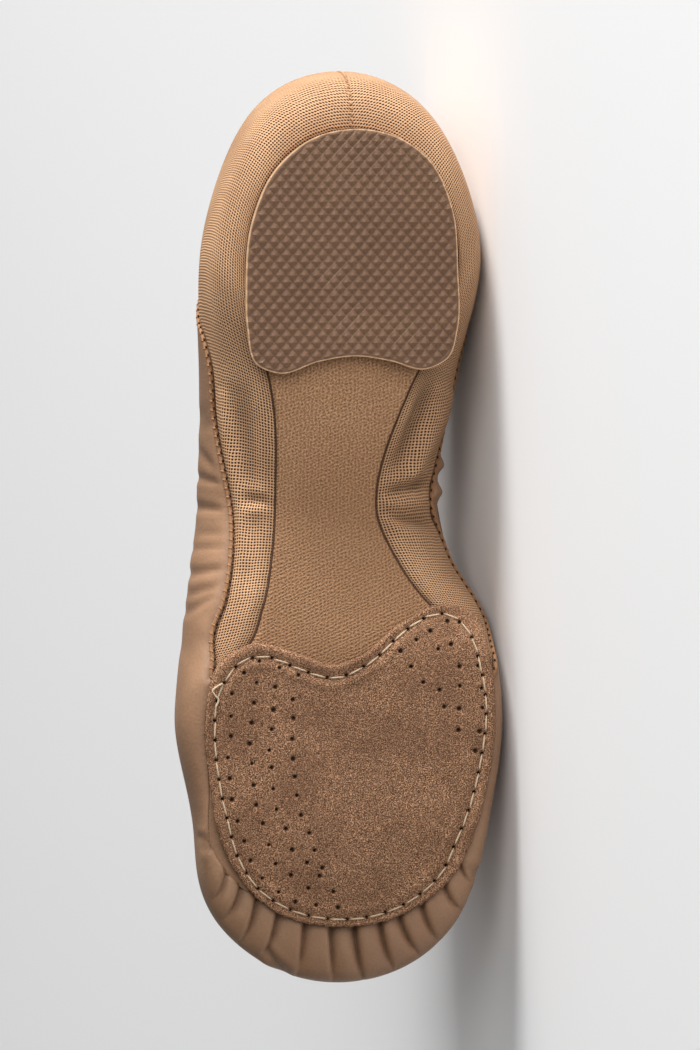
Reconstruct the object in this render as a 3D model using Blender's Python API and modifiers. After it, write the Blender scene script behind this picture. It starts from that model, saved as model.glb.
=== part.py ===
"""Left jazz shoe: a soft slip-on with a pleated leather vamp, a mesh heel and arch, and a split sole.

The shoe is modelled as if it stood on the floor, in metres, with +X to the medial side, +Y to the
toe and +Z up. One empty then lays every piece on the shoe's medial side, where the floor presses
the soft upper a little flat.

The upper is one surface of columns. Each column starts at the edge ring under the foot, swells out
to the bulge ring, turns in at the shoulder ring and ends at the collar ring. The level of a point on
its column runs from 0 at the edge to 3 at the collar. The place of a column around the shoe runs
from 0 at the back of the heel, along the lateral side, to 0.5 at the toe and back to 1.
"""

import math
from collections import namedtuple

import bmesh
import bpy
import numpy as np
from mathutils import Matrix
from mathutils.kdtree import KDTree

# Driving sizes
LENGTH = 0.245
BALL_WIDTH = 0.087
INSTEP_HEIGHT = 0.062
TOE_SWING = 0.0022
MESH_WALL = 0.0011
LEATHER_WALL = 0.0016
SOCK_THICKNESS = 0.0012
INSOLE_THICKNESS = 0.0020
HEEL_PAD_THICKNESS = 0.0024
FOREFOOT_PAD_THICKNESS = 0.0016
PAD_EDGE_ROUND = 0.0004
GAP = 0.0003
PAD_CLEARANCE = 0.00045
SOCK_GAP = 0.00055

# How the shoe lies on its medial side
LIE_ROLL = math.radians(10.0)
LIE_PITCH = math.radians(1.85)
FLOOR_PRESS = 0.0014

# The four rings, with ends in shares of the length and end radii in shares of the ball width
Ring = namedtuple("Ring", "heel_end toe_end heel_radius toe_radius")
RINGS = {
    "edge": Ring(0.071, 0.936, 0.29, 0.47),
    "bulge": Ring(0.000, 1.000, 0.36, 0.46),
    "shoulder": Ring(0.006, 0.927, 0.31, 0.24),
    "collar": Ring(0.024, 0.608, 0.23, 0.07),
}

# One row for each section from heel to toe. Stations are percent of a ring's run, half-widths percent
# of the ball width and heights percent of the instep height. Squareness is the power of the curve that
# turns from the underside into the side, where 2 gives a quarter of an ellipse.
Section = namedtuple(
    "Section",
    "station squareness edge_lateral edge_medial edge_lateral_height edge_medial_height"
    " bulge_lateral bulge_medial bulge_height shoulder_lateral shoulder_medial shoulder_height"
    " collar_lateral collar_medial collar_height",
)
SECTIONS = [
    Section(0.0, 2.4, 0.0, 0.0, 4.4, 4.4, 0.0, 0.0, 48.0, 0.0, 0.0, 71.0, 0.0, 0.0, 93.5),
    Section(7.0, 2.4, 26.8, 28.0, 4.4, 4.4, 31.7, 32.1, 45.0, 28.7, 28.7, 71.0, 21.3, 21.3, 92.0),
    Section(20.0, 2.4, 32.2, 32.2, 4.4, 4.4, 43.6, 43.0, 39.0, 38.5, 37.9, 68.0, 27.6, 27.6, 86.3),
    Section(33.0, 2.2, 24.7, 18.6, 8.4, 11.6, 42.6, 36.8, 50.0, 38.5, 34.5, 69.5, 29.3, 28.7, 81.5),
    Section(47.0, 2.1, 23.1, 9.5, 13.7, 20.2, 42.4, 31.0, 56.5, 38.5, 31.6, 71.8, 29.3, 28.2, 79.8),
    Section(53.5, 2.4, 24.3, 14.8, 10.8, 15.5, 44.6, 34.4, 50.5, 39.5, 34.3, 71.2, 28.9, 27.8, 80.3),
    Section(60.0, 3.0, 27.4, 25.9, 6.8, 9.7, 47.6, 44.0, 42.0, 40.8, 37.9, 69.5, 28.2, 27.0, 81.5),
    Section(65.5, 3.3, 33.3, 42.0, 4.6, 4.8, 50.1, 46.7, 34.7, 41.7, 39.7, 66.1, 26.9, 26.0, 83.1),
    Section(68.0, 3.3, 40.2, 42.5, 4.3, 4.3, 51.0, 47.6, 31.5, 41.9, 40.0, 64.5, 26.1, 25.4, 84.3),
    Section(71.0, 3.0, 43.2, 43.1, 4.2, 4.2, 51.7, 48.2, 29.0, 42.0, 40.2, 63.0, 25.3, 24.7, 85.5),
    Section(83.0, 2.8, 43.4, 41.1, 4.2, 4.2, 45.8, 44.3, 25.8, 37.4, 35.1, 59.7, 20.1, 19.5, 91.1),
    Section(94.0, 2.6, 35.7, 31.5, 5.8, 5.8, 36.6, 33.8, 24.2, 24.7, 22.4, 57.3, 11.5, 11.5, 96.8),
    Section(100.0, 2.6, 0.0, 0.0, 8.2, 8.2, 0.0, 0.0, 24.2, 0.0, 0.0, 55.6, 0.0, 0.0, 99.2),
]

# The seam between mesh and leather on each side: percent of the run from the heel, and the level there
Seam = namedtuple("Seam", "station level")
LATERAL_SEAM = [
    Seam(23.5, 3.0), Seam(25.5, 1.6), Seam(27.5, 1.1), Seam(30.3, 0.83), Seam(38.4, 0.68),
    Seam(47.1, 0.46), Seam(58.7, 0.33), Seam(62.0, 0.38), Seam(66.4, 0.20), Seam(69.0, 0.0),
]
MEDIAL_SEAM = [
    Seam(23.5, 3.0), Seam(25.5, 1.6), Seam(28.0, 1.05), Seam(33.0, 0.90), Seam(42.0, 0.82),
    Seam(47.5, 0.66), Seam(53.0, 0.85), Seam(60.0, 0.82), Seam(66.0, 0.30), Seam(69.0, 0.0),
]

# Pleats where the vamp is gathered round the toe
PLEAT_COUNT = 12
PLEAT_FIRST = 0.417
PLEAT_PITCH = 0.0150
PLEAT_DEPTH = 0.0011
PLEAT_TOP_LEVEL = 1.15

# Pad outlines as points that a smooth closed curve passes through, in shares of the length
OutlinePoint = namedtuple("OutlinePoint", "across along")
HEEL_PAD_OUTLINE = [
    OutlinePoint(-0.1175, 0.245), OutlinePoint(-0.1110, 0.171), OutlinePoint(-0.0820, 0.109),
    OutlinePoint(-0.0370, 0.075), OutlinePoint(0.0060, 0.0675), OutlinePoint(0.0490, 0.076),
    OutlinePoint(0.0840, 0.100), OutlinePoint(0.1100, 0.153), OutlinePoint(0.1165, 0.224),
    OutlinePoint(0.1160, 0.286), OutlinePoint(0.1060, 0.317), OutlinePoint(0.0810, 0.330),
    OutlinePoint(0.0410, 0.321), OutlinePoint(0.0040, 0.316), OutlinePoint(-0.0370, 0.322),
    OutlinePoint(-0.0810, 0.335), OutlinePoint(-0.1060, 0.325), OutlinePoint(-0.1160, 0.286),
]
FOREFOOT_PAD_OUTLINE = [
    OutlinePoint(-0.110, 0.630), OutlinePoint(-0.149, 0.655), OutlinePoint(-0.162, 0.708),
    OutlinePoint(-0.158, 0.779), OutlinePoint(-0.137, 0.865), OutlinePoint(-0.085, 0.923),
    OutlinePoint(-0.016, 0.940), OutlinePoint(0.054, 0.928), OutlinePoint(0.110, 0.886),
    OutlinePoint(0.143, 0.810), OutlinePoint(0.158, 0.718), OutlinePoint(0.152, 0.645),
    OutlinePoint(0.137, 0.597), OutlinePoint(0.102, 0.587), OutlinePoint(0.054, 0.608),
    OutlinePoint(0.005, 0.645), OutlinePoint(-0.020, 0.653), OutlinePoint(-0.063, 0.640),
]

# How finely each form is divided
HEEL_COLUMNS = 9
ARCH_COLUMNS = 22
VAMP_SIDE_COLUMNS = 8
COLUMNS_PER_PLEAT = 4
MESH_ROWS = 9
LEATHER_ROWS = 11
SOLE_STRIPS = 4
PAD_OUTLINE_STEPS = 4
PAD_RINGS = 7
UNDERSIDE_SAMPLES = 480
UNDERSIDE_NEIGHBOURS = 4

COLLAR_LEVEL = 3.0
LIP_SHARE = 0.02


def clear_scene():
    for obj in list(bpy.data.objects):
        bpy.data.objects.remove(obj, do_unlink=True)


def smooth_table(stations, values, at):
    """A smooth curve through the rows of a table that never swings past them, read at given stations."""
    stations = np.asarray(stations, float)
    values = np.asarray(values, float)
    at = np.clip(np.asarray(at, float), stations[0], stations[-1])
    rises = np.diff(values) / np.diff(stations)
    slopes = np.gradient(values, stations)
    steepest = 3 * np.minimum(np.abs(rises[:-1]), np.abs(rises[1:]))
    steepest = np.where(rises[:-1] * rises[1:] > 0, steepest, 0)
    slopes[1:-1] = np.clip(slopes[1:-1], -steepest, steepest)
    row = np.clip(np.searchsorted(stations, at, side="right") - 1, 0, len(stations) - 2)
    step = stations[row + 1] - stations[row]
    share = (at - stations[row]) / step
    rise = share * share * (3 - 2 * share)
    leave = share * (1 - share) ** 2
    arrive = share * share * (share - 1)
    between = values[row] + (values[row + 1] - values[row]) * rise
    return between + step * (slopes[row] * leave + slopes[row + 1] * arrive)


def section_column(name):
    return np.array([getattr(section, name) for section in SECTIONS]) / 100


STATIONS = section_column("station")


def run_share(around):
    """How far along its ring's run, from heel to toe, a column stands."""
    return (1 - np.cos(2 * math.pi * np.asarray(around, float))) / 2


def around_of(share, lateral):
    """The place around the shoe of the column at this share of the run."""
    place = math.acos(1 - 2 * share) / (2 * math.pi)
    return place if lateral else 1 - place


def ring_fullness(name, side):
    """A ring's half-widths over those of a circle at the same stations, with the ends from their radii."""
    ring = RINGS[name]
    run = (ring.toe_end - ring.heel_end) * LENGTH
    half_widths = section_column(f"{name}_{side}") * BALL_WIDTH
    fullness = np.empty(len(STATIONS))
    inner = slice(1, -1)
    fullness[inner] = half_widths[inner] / (2 * np.sqrt(STATIONS[inner] * (1 - STATIONS[inner])))
    fullness[0] = math.sqrt(ring.heel_radius * BALL_WIDTH * run / 2)
    fullness[-1] = math.sqrt(ring.toe_radius * BALL_WIDTH * run / 2)
    return fullness


def ring_point(name, around):
    """Points of a ring at these places around the shoe."""
    around = np.asarray(around, float)
    ring = RINGS[name]
    share = run_share(around)
    swing = np.sin(2 * math.pi * around)
    lateral = swing >= 0
    width = np.where(
        lateral,
        smooth_table(STATIONS, ring_fullness(name, "lateral"), share),
        smooth_table(STATIONS, ring_fullness(name, "medial"), share),
    )
    if name == "edge":
        height = np.where(
            lateral,
            smooth_table(STATIONS, section_column("edge_lateral_height"), share),
            smooth_table(STATIONS, section_column("edge_medial_height"), share),
        )
    else:
        height = smooth_table(STATIONS, section_column(f"{name}_height"), share)
    along = (ring.heel_end + share * (ring.toe_end - ring.heel_end)) * LENGTH
    across = -swing * width - TOE_SWING * share**6
    return np.stack([across, along, height * INSTEP_HEIGHT], axis=-1)


def hermite(start, end, leave, arrive, share):
    share = share[..., None]
    rise = share * share * (3 - 2 * share)
    return (
        start
        + (end - start) * rise
        + leave * share * (1 - share) ** 2
        + arrive * share * share * (share - 1)
    )


def last_point(around, level):
    """The smooth outer form of the upper, before seams, pleats and the floor's press."""
    around, level = np.broadcast_arrays(np.asarray(around, float), np.asarray(level, float))
    edge, bulge, shoulder, collar = (
        ring_point(name, around) for name in ("edge", "bulge", "shoulder", "collar")
    )
    squareness = smooth_table(STATIONS, section_column("squareness") * 100, run_share(around))
    turn = np.clip(level, 0, 1) * math.pi / 2
    out = np.sin(turn) ** (2 / squareness)
    up = 1 - np.clip(np.cos(turn), 0, 1) ** (2 / squareness)
    under = edge + (bulge - edge) * np.stack([out, out, up], axis=-1)
    low = np.linalg.norm(shoulder - bulge, axis=-1, keepdims=True)
    high = np.linalg.norm(collar - shoulder, axis=-1, keepdims=True)
    lean = ((shoulder - bulge) / low * high + (collar - shoulder) / high * low) / (low + high)
    upright = np.array([0.0, 0.0, 1.0])
    side = hermite(bulge, shoulder, upright * low, lean * low, np.clip(level - 1, 0, 1))
    finish = (collar - shoulder) / high
    top = hermite(shoulder, collar, lean * high, finish * high, np.clip(level - 2, 0, 1))
    level = level[..., None]
    return np.where(level <= 1, under, np.where(level <= 2, side, top))


def outward(around, level):
    """Unit normals of the outer form, pointing away from the foot."""
    step_around, step_level = 1e-4, 1e-3
    level = np.asarray(level, float)
    low = np.clip(level - step_level, 0, COLLAR_LEVEL)
    high = np.clip(level + step_level, 0, COLLAR_LEVEL)
    along = last_point(around + step_around, level) - last_point(around - step_around, level)
    up = last_point(around, high) - last_point(around, low)
    normal = np.cross(up, along)
    return normal / np.linalg.norm(normal, axis=-1, keepdims=True)


def pleat_sink(around, level):
    """How deep the gathered leather dips below the outer form: sharp valleys between round ridges."""
    place = (np.asarray(around, float) - PLEAT_FIRST) / PLEAT_PITCH
    valley = np.abs(np.sin(math.pi * place))
    last = PLEAT_COUNT - 1
    inside = np.clip(np.minimum(place + 0.5, last + 0.5 - place), 0, 1)
    fade = np.clip(1 - level / PLEAT_TOP_LEVEL, 0, 1)
    return PLEAT_DEPTH * inside * fade * (1 - valley) ** 1.5


def seam_level(around):
    """The level of the mesh and leather seam: at the collar round the heel and at the edge round the toe."""
    share = float(run_share(around))
    rows = LATERAL_SEAM if around <= 0.5 else MEDIAL_SEAM
    stations = [row.station / 100 for row in rows]
    levels = [row.level for row in rows]
    level = float(smooth_table(stations, levels, share))
    return round(min(max(level, 0.0), COLLAR_LEVEL), 6)


def lying_turn():
    """Turns the standing shoe onto its medial side: toe to -X, sole to -Y and a little upwards."""
    on_side = Matrix(((0, -1, 0), (0, 0, 1), (-1, 0, 0)))
    roll = Matrix.Rotation(-LIE_ROLL, 3, "X")
    pitch = Matrix.Rotation(LIE_PITCH, 3, "Y")
    return pitch @ roll @ on_side


def floor_height():
    """The floor's height under the turned shoe, set so that the outer form sinks in by FLOOR_PRESS."""
    around = np.linspace(0, 1, 241)
    level = np.linspace(0, COLLAR_LEVEL, 61)
    points = last_point(around[:, None], level[None, :]).reshape(-1, 3)
    down = np.array(lying_turn())[2]
    return float((points @ down).min()) + FLOOR_PRESS


def press_on_floor(points, floor):
    """Lifts what would lie below the floor up to it."""
    down = np.array(lying_turn())[2]
    sunk = np.clip(floor - points @ down, 0, None)
    return points + sunk[..., None] * down


def upper_point(around, levels, leather, floor):
    """Outer points of one column, mesh or leather."""
    around = np.full(len(levels), around)
    levels = np.asarray(levels, float)
    raised = np.full(len(levels), LEATHER_WALL - MESH_WALL) if leather else np.zeros(len(levels))
    if leather:
        raised = raised - pleat_sink(around, levels)
    points = last_point(around, levels) + outward(around, levels) * raised[:, None]
    return press_on_floor(points, floor)


def upper_places():
    """The columns around the shoe, closest together over the pleats."""
    top = run_share_to_place(LATERAL_SEAM[0].station)
    bottom = run_share_to_place(LATERAL_SEAM[-1].station)
    pleats_from = PLEAT_FIRST - PLEAT_PITCH / 2
    half = PLEAT_COUNT * COLUMNS_PER_PLEAT // 2
    lateral = np.concatenate([
        np.linspace(0, top, HEEL_COLUMNS, endpoint=False),
        np.linspace(top, bottom, ARCH_COLUMNS, endpoint=False),
        np.linspace(bottom, pleats_from, VAMP_SIDE_COLUMNS, endpoint=False),
        np.linspace(pleats_from, 0.5, half, endpoint=False),
    ])
    return np.concatenate([lateral, [0.5], 1 - lateral[:0:-1]])


def row_shares(rows):
    """Rows up a column, the first one close to the start so that the rim stays square to the surface."""
    return np.concatenate([[0, LIP_SHARE], np.linspace(0, 1, rows)[1:]])


def run_share_to_place(percent):
    return around_of(percent / 100, lateral=True)


def new_object(name, mesh, collection, material):
    obj = bpy.data.objects.new(name, mesh)
    collection.objects.link(obj)
    obj.data.materials.append(material)
    return obj


def finish_mesh(name, bm):
    """A mesh with doubles merged, from a filled bmesh."""
    bmesh.ops.remove_doubles(bm, verts=bm.verts, dist=1e-6)
    bmesh.ops.dissolve_degenerate(bm, edges=bm.edges, dist=1e-7)
    mesh = bpy.data.meshes.new(name)
    bm.to_mesh(mesh)
    bm.free()
    mesh.shade_smooth()
    return mesh


def skin_grid(bm, columns, closed):
    """Quads between neighbouring columns of vertices."""
    pairs = zip(columns, columns[1:] + columns[:1]) if closed else zip(columns, columns[1:])
    for left, right in pairs:
        for low in range(len(left) - 1):
            bm.faces.new((left[low], left[low + 1], right[low + 1], right[low]))


def solidify(obj, thickness, weight_group=None):
    """Gives a surface its thickness, on the side away from its normals."""
    wall = obj.modifiers.new("wall", "SOLIDIFY")
    wall.thickness = thickness
    wall.offset = -1
    wall.use_quality_normals = True
    if weight_group:
        wall.vertex_group = weight_group


def build_upper(collection, material):
    """The hollow upper: mesh round the heel and along the arch, leather over the vamp, one step thicker."""
    floor = floor_height()
    bm = bmesh.new()
    leather_layer = bm.verts.layers.float.new("leather")
    mesh_columns, leather_columns = [], []
    for around in upper_places():
        seam = seam_level(around)
        rows = {}
        for kind, levels in (
            ("mesh", seam * row_shares(MESH_ROWS)),
            ("leather", seam + (COLLAR_LEVEL - seam) * row_shares(LEATHER_ROWS)),
        ):
            points = upper_point(around, levels, kind == "leather", floor)
            rows[kind] = [bm.verts.new(point) for point in points]
            for vert in rows[kind]:
                vert[leather_layer] = 1.0 if kind == "leather" else MESH_WALL / LEATHER_WALL
        mesh_columns.append((seam, rows["mesh"]))
        leather_columns.append((seam, rows["leather"]))
    count = len(mesh_columns)
    for here in range(count):
        there = (here + 1) % count
        seams = (mesh_columns[here][0], mesh_columns[there][0])
        if max(seams) > 0:
            skin_grid(bm, [mesh_columns[here][1], mesh_columns[there][1]], closed=False)
        if min(seams) < COLLAR_LEVEL:
            skin_grid(bm, [leather_columns[here][1], leather_columns[there][1]], closed=False)
        if max(seams) > 0 and min(seams) < COLLAR_LEVEL:
            step_here = [mesh_columns[here][1][-1], leather_columns[here][1][0]]
            step_there = [mesh_columns[there][1][-1], leather_columns[there][1][0]]
            skin_grid(bm, [step_here, step_there], closed=False)
    loose = [vert for vert in bm.verts if not vert.link_faces]
    bmesh.ops.delete(bm, geom=loose, context="VERTS")
    mesh = finish_mesh("upper", bm)
    obj = new_object("upper", mesh, collection, material)
    group = obj.vertex_groups.new(name="wall")
    weights = [item.value for item in mesh.attributes["leather"].data]
    for index, weight in enumerate(weights):
        group.add([index], weight, "REPLACE")
    solidify(obj, LEATHER_WALL, "wall")
    return obj


def ring_inset(points, distance):
    """Moves a closed ring of points inwards in plan."""
    ahead = np.roll(points, -1, axis=0) - np.roll(points, 1, axis=0)
    inward = np.stack([ahead[:, 1], -ahead[:, 0]], axis=-1)
    inward /= np.linalg.norm(inward, axis=-1, keepdims=True)
    moved = points.copy()
    moved[:, :2] += inward * distance
    return moved


def build_sole_sheet(name, ring, thickness, collection, material):
    """A thin sheet that spans a closed ring of points in strips from side to side."""
    half = len(ring) // 2
    bm = bmesh.new()
    rows = []
    for row in range(half + 1):
        lateral, medial = ring[row], ring[-row]
        shares = np.linspace(0, 1, SOLE_STRIPS + 1)
        rows.append([bm.verts.new(medial + (lateral - medial) * share) for share in shares])
    skin_grid(bm, rows, closed=False)
    obj = new_object(name, finish_mesh(name, bm), collection, material)
    solidify(obj, thickness)
    return obj


def build_sole_sock(collection, material):
    """The canvas sock that closes the upper underneath and shows between the two pads."""
    ring = ring_inset(ring_point("edge", upper_places()), SOCK_GAP)
    return build_sole_sheet("sole_sock", ring, SOCK_THICKNESS, collection, material)


def build_insole(collection, material):
    """The insole, which lies on the sock."""
    ring = ring_inset(ring_point("edge", upper_places()), SOCK_GAP)
    ring[:, 2] += SOCK_THICKNESS + GAP
    return build_sole_sheet("insole", ring, INSOLE_THICKNESS, collection, material)


def closed_curve(points, steps):
    """A smooth closed curve through points in plan, with spacing that follows their distances."""
    points = np.array([(point.across, point.along) for point in points]) * LENGTH
    count = len(points)
    curve = []
    for here in range(count):
        before, start, end, after = (points[(here + k) % count] for k in (-1, 0, 1, 2))
        spans = [np.linalg.norm(b - a) for a, b in ((before, start), (start, end), (end, after))]
        leave = (start - before) / spans[0] * spans[1] + (end - start) / spans[1] * spans[0]
        arrive = (end - start) / spans[1] * spans[2] + (after - end) / spans[2] * spans[1]
        leave *= spans[1] / (spans[0] + spans[1])
        arrive *= spans[1] / (spans[1] + spans[2])
        shares = np.arange(steps) / steps
        curve.append(hermite(start, end, leave, arrive, shares))
    return np.concatenate(curve)


def build_heel_pad(collection, material):
    """The flat rubber heel pad."""
    curve = bpy.data.curves.new("heel_pad", "CURVE")
    curve.dimensions = "2D"
    curve.fill_mode = "BOTH"
    curve.extrude = HEEL_PAD_THICKNESS / 2 - PAD_EDGE_ROUND
    curve.bevel_depth = PAD_EDGE_ROUND
    curve.bevel_resolution = 0
    curve.offset = -PAD_EDGE_ROUND
    outline = closed_curve(HEEL_PAD_OUTLINE, PAD_OUTLINE_STEPS)
    spline = curve.splines.new("POLY")
    spline.points.add(len(outline) - 1)
    for point, (across, along) in zip(spline.points, outline):
        point.co = (across, along, 0, 1)
    spline.use_cyclic_u = True
    obj = new_object("heel_pad", curve, collection, material)
    obj.location.z = HEEL_PAD_THICKNESS / 2
    return obj


def underside_tree():
    """A search tree, in plan, of sample points on the shoe's underside, and the heights of those points."""
    around = np.linspace(0, 1, UNDERSIDE_SAMPLES, endpoint=False)
    turned_in = last_point(around[:, None], np.linspace(0, 0.9, UNDERSIDE_SAMPLES // 12)[None, :])
    half = np.linspace(0, 0.5, UNDERSIDE_SAMPLES // 2)
    lateral, medial = ring_point("edge", half), ring_point("edge", 1 - half)
    over = np.linspace(0, 1, UNDERSIDE_SAMPLES // 4)[None, :, None]
    sock = lateral[:, None] + (medial - lateral)[:, None] * over
    samples = np.concatenate([turned_in.reshape(-1, 3), sock.reshape(-1, 3)])
    tree = KDTree(len(samples))
    for index, (across, along, _) in enumerate(samples):
        tree.insert((across, along, 0), index)
    tree.balance()
    return tree, samples[:, 2]


def underside(plan, tree, heights):
    """Heights of the shoe's underside at points in plan, each the mean of the nearest samples."""
    found = []
    for across, along in plan:
        near = tree.find_n((across, along, 0), UNDERSIDE_NEIGHBOURS)
        found.append(np.mean([heights[index] for _, index, _ in near]))
    return np.array(found)


def build_forefoot_pad(collection, material):
    """The suede forefoot pad, which follows the underside of the ball and the toe."""
    outline = closed_curve(FOREFOOT_PAD_OUTLINE, PAD_OUTLINE_STEPS)
    centre = outline.mean(axis=0)
    drop = LEATHER_WALL - MESH_WALL + PAD_CLEARANCE
    tree, heights = underside_tree()
    bm = bmesh.new()
    columns = []
    for corner in outline[::-1]:
        shares = np.linspace(0, 1, PAD_RINGS + 1) ** 0.6
        plan = centre + (corner - centre) * shares[:, None]
        height = underside(plan, tree, heights) - drop
        columns.append([bm.verts.new((x, y, z)) for (x, y), z in zip(plan, height)])
    skin_grid(bm, columns, closed=True)
    obj = new_object("forefoot_pad", finish_mesh("forefoot_pad", bm), collection, material)
    solidify(obj, FOREFOOT_PAD_THICKNESS)
    return obj


def make_material(name, colour, roughness):
    material = bpy.data.materials.new(name)
    material.use_nodes = True
    shader = material.node_tree.nodes["Principled BSDF"]
    shader.inputs["Base Color"].default_value = (*colour, 1)
    shader.inputs["Roughness"].default_value = roughness
    shader.inputs["Metallic"].default_value = 0
    return material


def lay_down(pieces):
    """Hangs the pieces on an empty that lays them on the floor, with the origin below their middle."""
    carrier = bpy.data.objects.new("lying_shoe", None)
    bpy.context.scene.collection.objects.link(carrier)
    for piece in pieces:
        piece.parent = carrier
    carrier.matrix_world = lying_turn().to_4x4()
    bpy.context.view_layer.update()
    graph = bpy.context.evaluated_depsgraph_get()
    points = []
    for piece in pieces:
        shape = piece.evaluated_get(graph)
        mesh = shape.to_mesh()
        points.extend(piece.matrix_world @ vert.co for vert in mesh.vertices)
        shape.to_mesh_clear()
    points = np.array(points)
    low, high = points.min(axis=0), points.max(axis=0)
    carrier.location = (-(low[0] + high[0]) / 2, -(low[1] + high[1]) / 2, -low[2])


def main():
    clear_scene()
    collection = bpy.data.collections.new("jazz_shoe")
    bpy.context.scene.collection.children.link(collection)
    leather = make_material("tan_leather", (0.36, 0.22, 0.13), 0.5)
    canvas = make_material("tan_canvas", (0.30, 0.19, 0.11), 0.9)
    suede = make_material("brown_suede", (0.25, 0.13, 0.07), 0.95)
    rubber = make_material("brown_rubber", (0.20, 0.11, 0.065), 0.6)
    lining = make_material("pale_lining", (0.55, 0.42, 0.30), 0.9)
    pieces = [
        build_upper(collection, leather),
        build_sole_sock(collection, canvas),
        build_insole(collection, lining),
        build_forefoot_pad(collection, suede),
        build_heel_pad(collection, rubber),
    ]
    lay_down(pieces)


main()
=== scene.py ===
"""Looks of a left jazz shoe that lies on its medial side.

Shapes are worked out in the frame of the standing shoe, in metres: +X to the medial side, +Y from the
heel to the toe and +Z up from the floor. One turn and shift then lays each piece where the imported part
lies. A point of the upper has a place around the shoe, from 0 at the back of the heel along the lateral
side to 0.5 at the toe and on to 1, and a level, from 0 at the edge under the foot over 1 at the bulge and
2 at the shoulder to 3 at the collar. Folds, stitches and pinholes are placed as seen from below, in
millimetres: across from the middle line, positive to the medial side, and along from the back of the heel.
"""

import math
from collections import namedtuple

import bmesh
import bpy
import numpy as np
from mathutils import Matrix, Vector
from mathutils.geometry import delaunay_2d_cdt


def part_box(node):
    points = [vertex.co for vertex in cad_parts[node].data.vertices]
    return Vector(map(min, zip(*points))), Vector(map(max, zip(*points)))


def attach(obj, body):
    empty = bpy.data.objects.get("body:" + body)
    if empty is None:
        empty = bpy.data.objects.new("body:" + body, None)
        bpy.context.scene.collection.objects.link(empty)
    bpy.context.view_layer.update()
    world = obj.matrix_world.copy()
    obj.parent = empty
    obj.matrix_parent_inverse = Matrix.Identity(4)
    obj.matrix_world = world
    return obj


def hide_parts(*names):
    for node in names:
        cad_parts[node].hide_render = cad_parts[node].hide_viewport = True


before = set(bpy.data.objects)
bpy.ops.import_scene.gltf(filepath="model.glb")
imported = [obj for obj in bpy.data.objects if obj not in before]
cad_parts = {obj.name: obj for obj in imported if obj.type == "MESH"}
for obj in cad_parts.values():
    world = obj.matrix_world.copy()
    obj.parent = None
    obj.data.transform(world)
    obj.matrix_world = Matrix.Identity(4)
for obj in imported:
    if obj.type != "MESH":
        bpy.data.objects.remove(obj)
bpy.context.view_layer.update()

MM = 0.001

# Driving sizes of the part
LENGTH = 0.245
BALL_WIDTH = 0.087
INSTEP_HEIGHT = 0.062
TOE_SWING = 0.0022
MESH_WALL = 0.0011
LEATHER_WALL = 0.0016
SOCK_THICKNESS = 0.0012
INSOLE_THICKNESS = 0.0020
HEEL_PAD_THICKNESS = 0.0024
FOREFOOT_PAD_THICKNESS = 0.0016
GAP = 0.0003
PAD_CLEARANCE = 0.00045
SOCK_GAP = 0.00055
COLLAR_LEVEL = 3.0

# How the shoe lies on its medial side
LIE_ROLL = math.radians(10.0)
LIE_PITCH = math.radians(1.85)

# The four rings of the upper, with ends in shares of the length and end radii in shares of the ball width
Ring = namedtuple("Ring", "heel_end toe_end heel_radius toe_radius")
RINGS = {
    "edge": Ring(0.071, 0.936, 0.29, 0.47),
    "bulge": Ring(0.000, 1.000, 0.36, 0.46),
    "shoulder": Ring(0.006, 0.927, 0.31, 0.24),
    "collar": Ring(0.024, 0.608, 0.23, 0.07),
}

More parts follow.
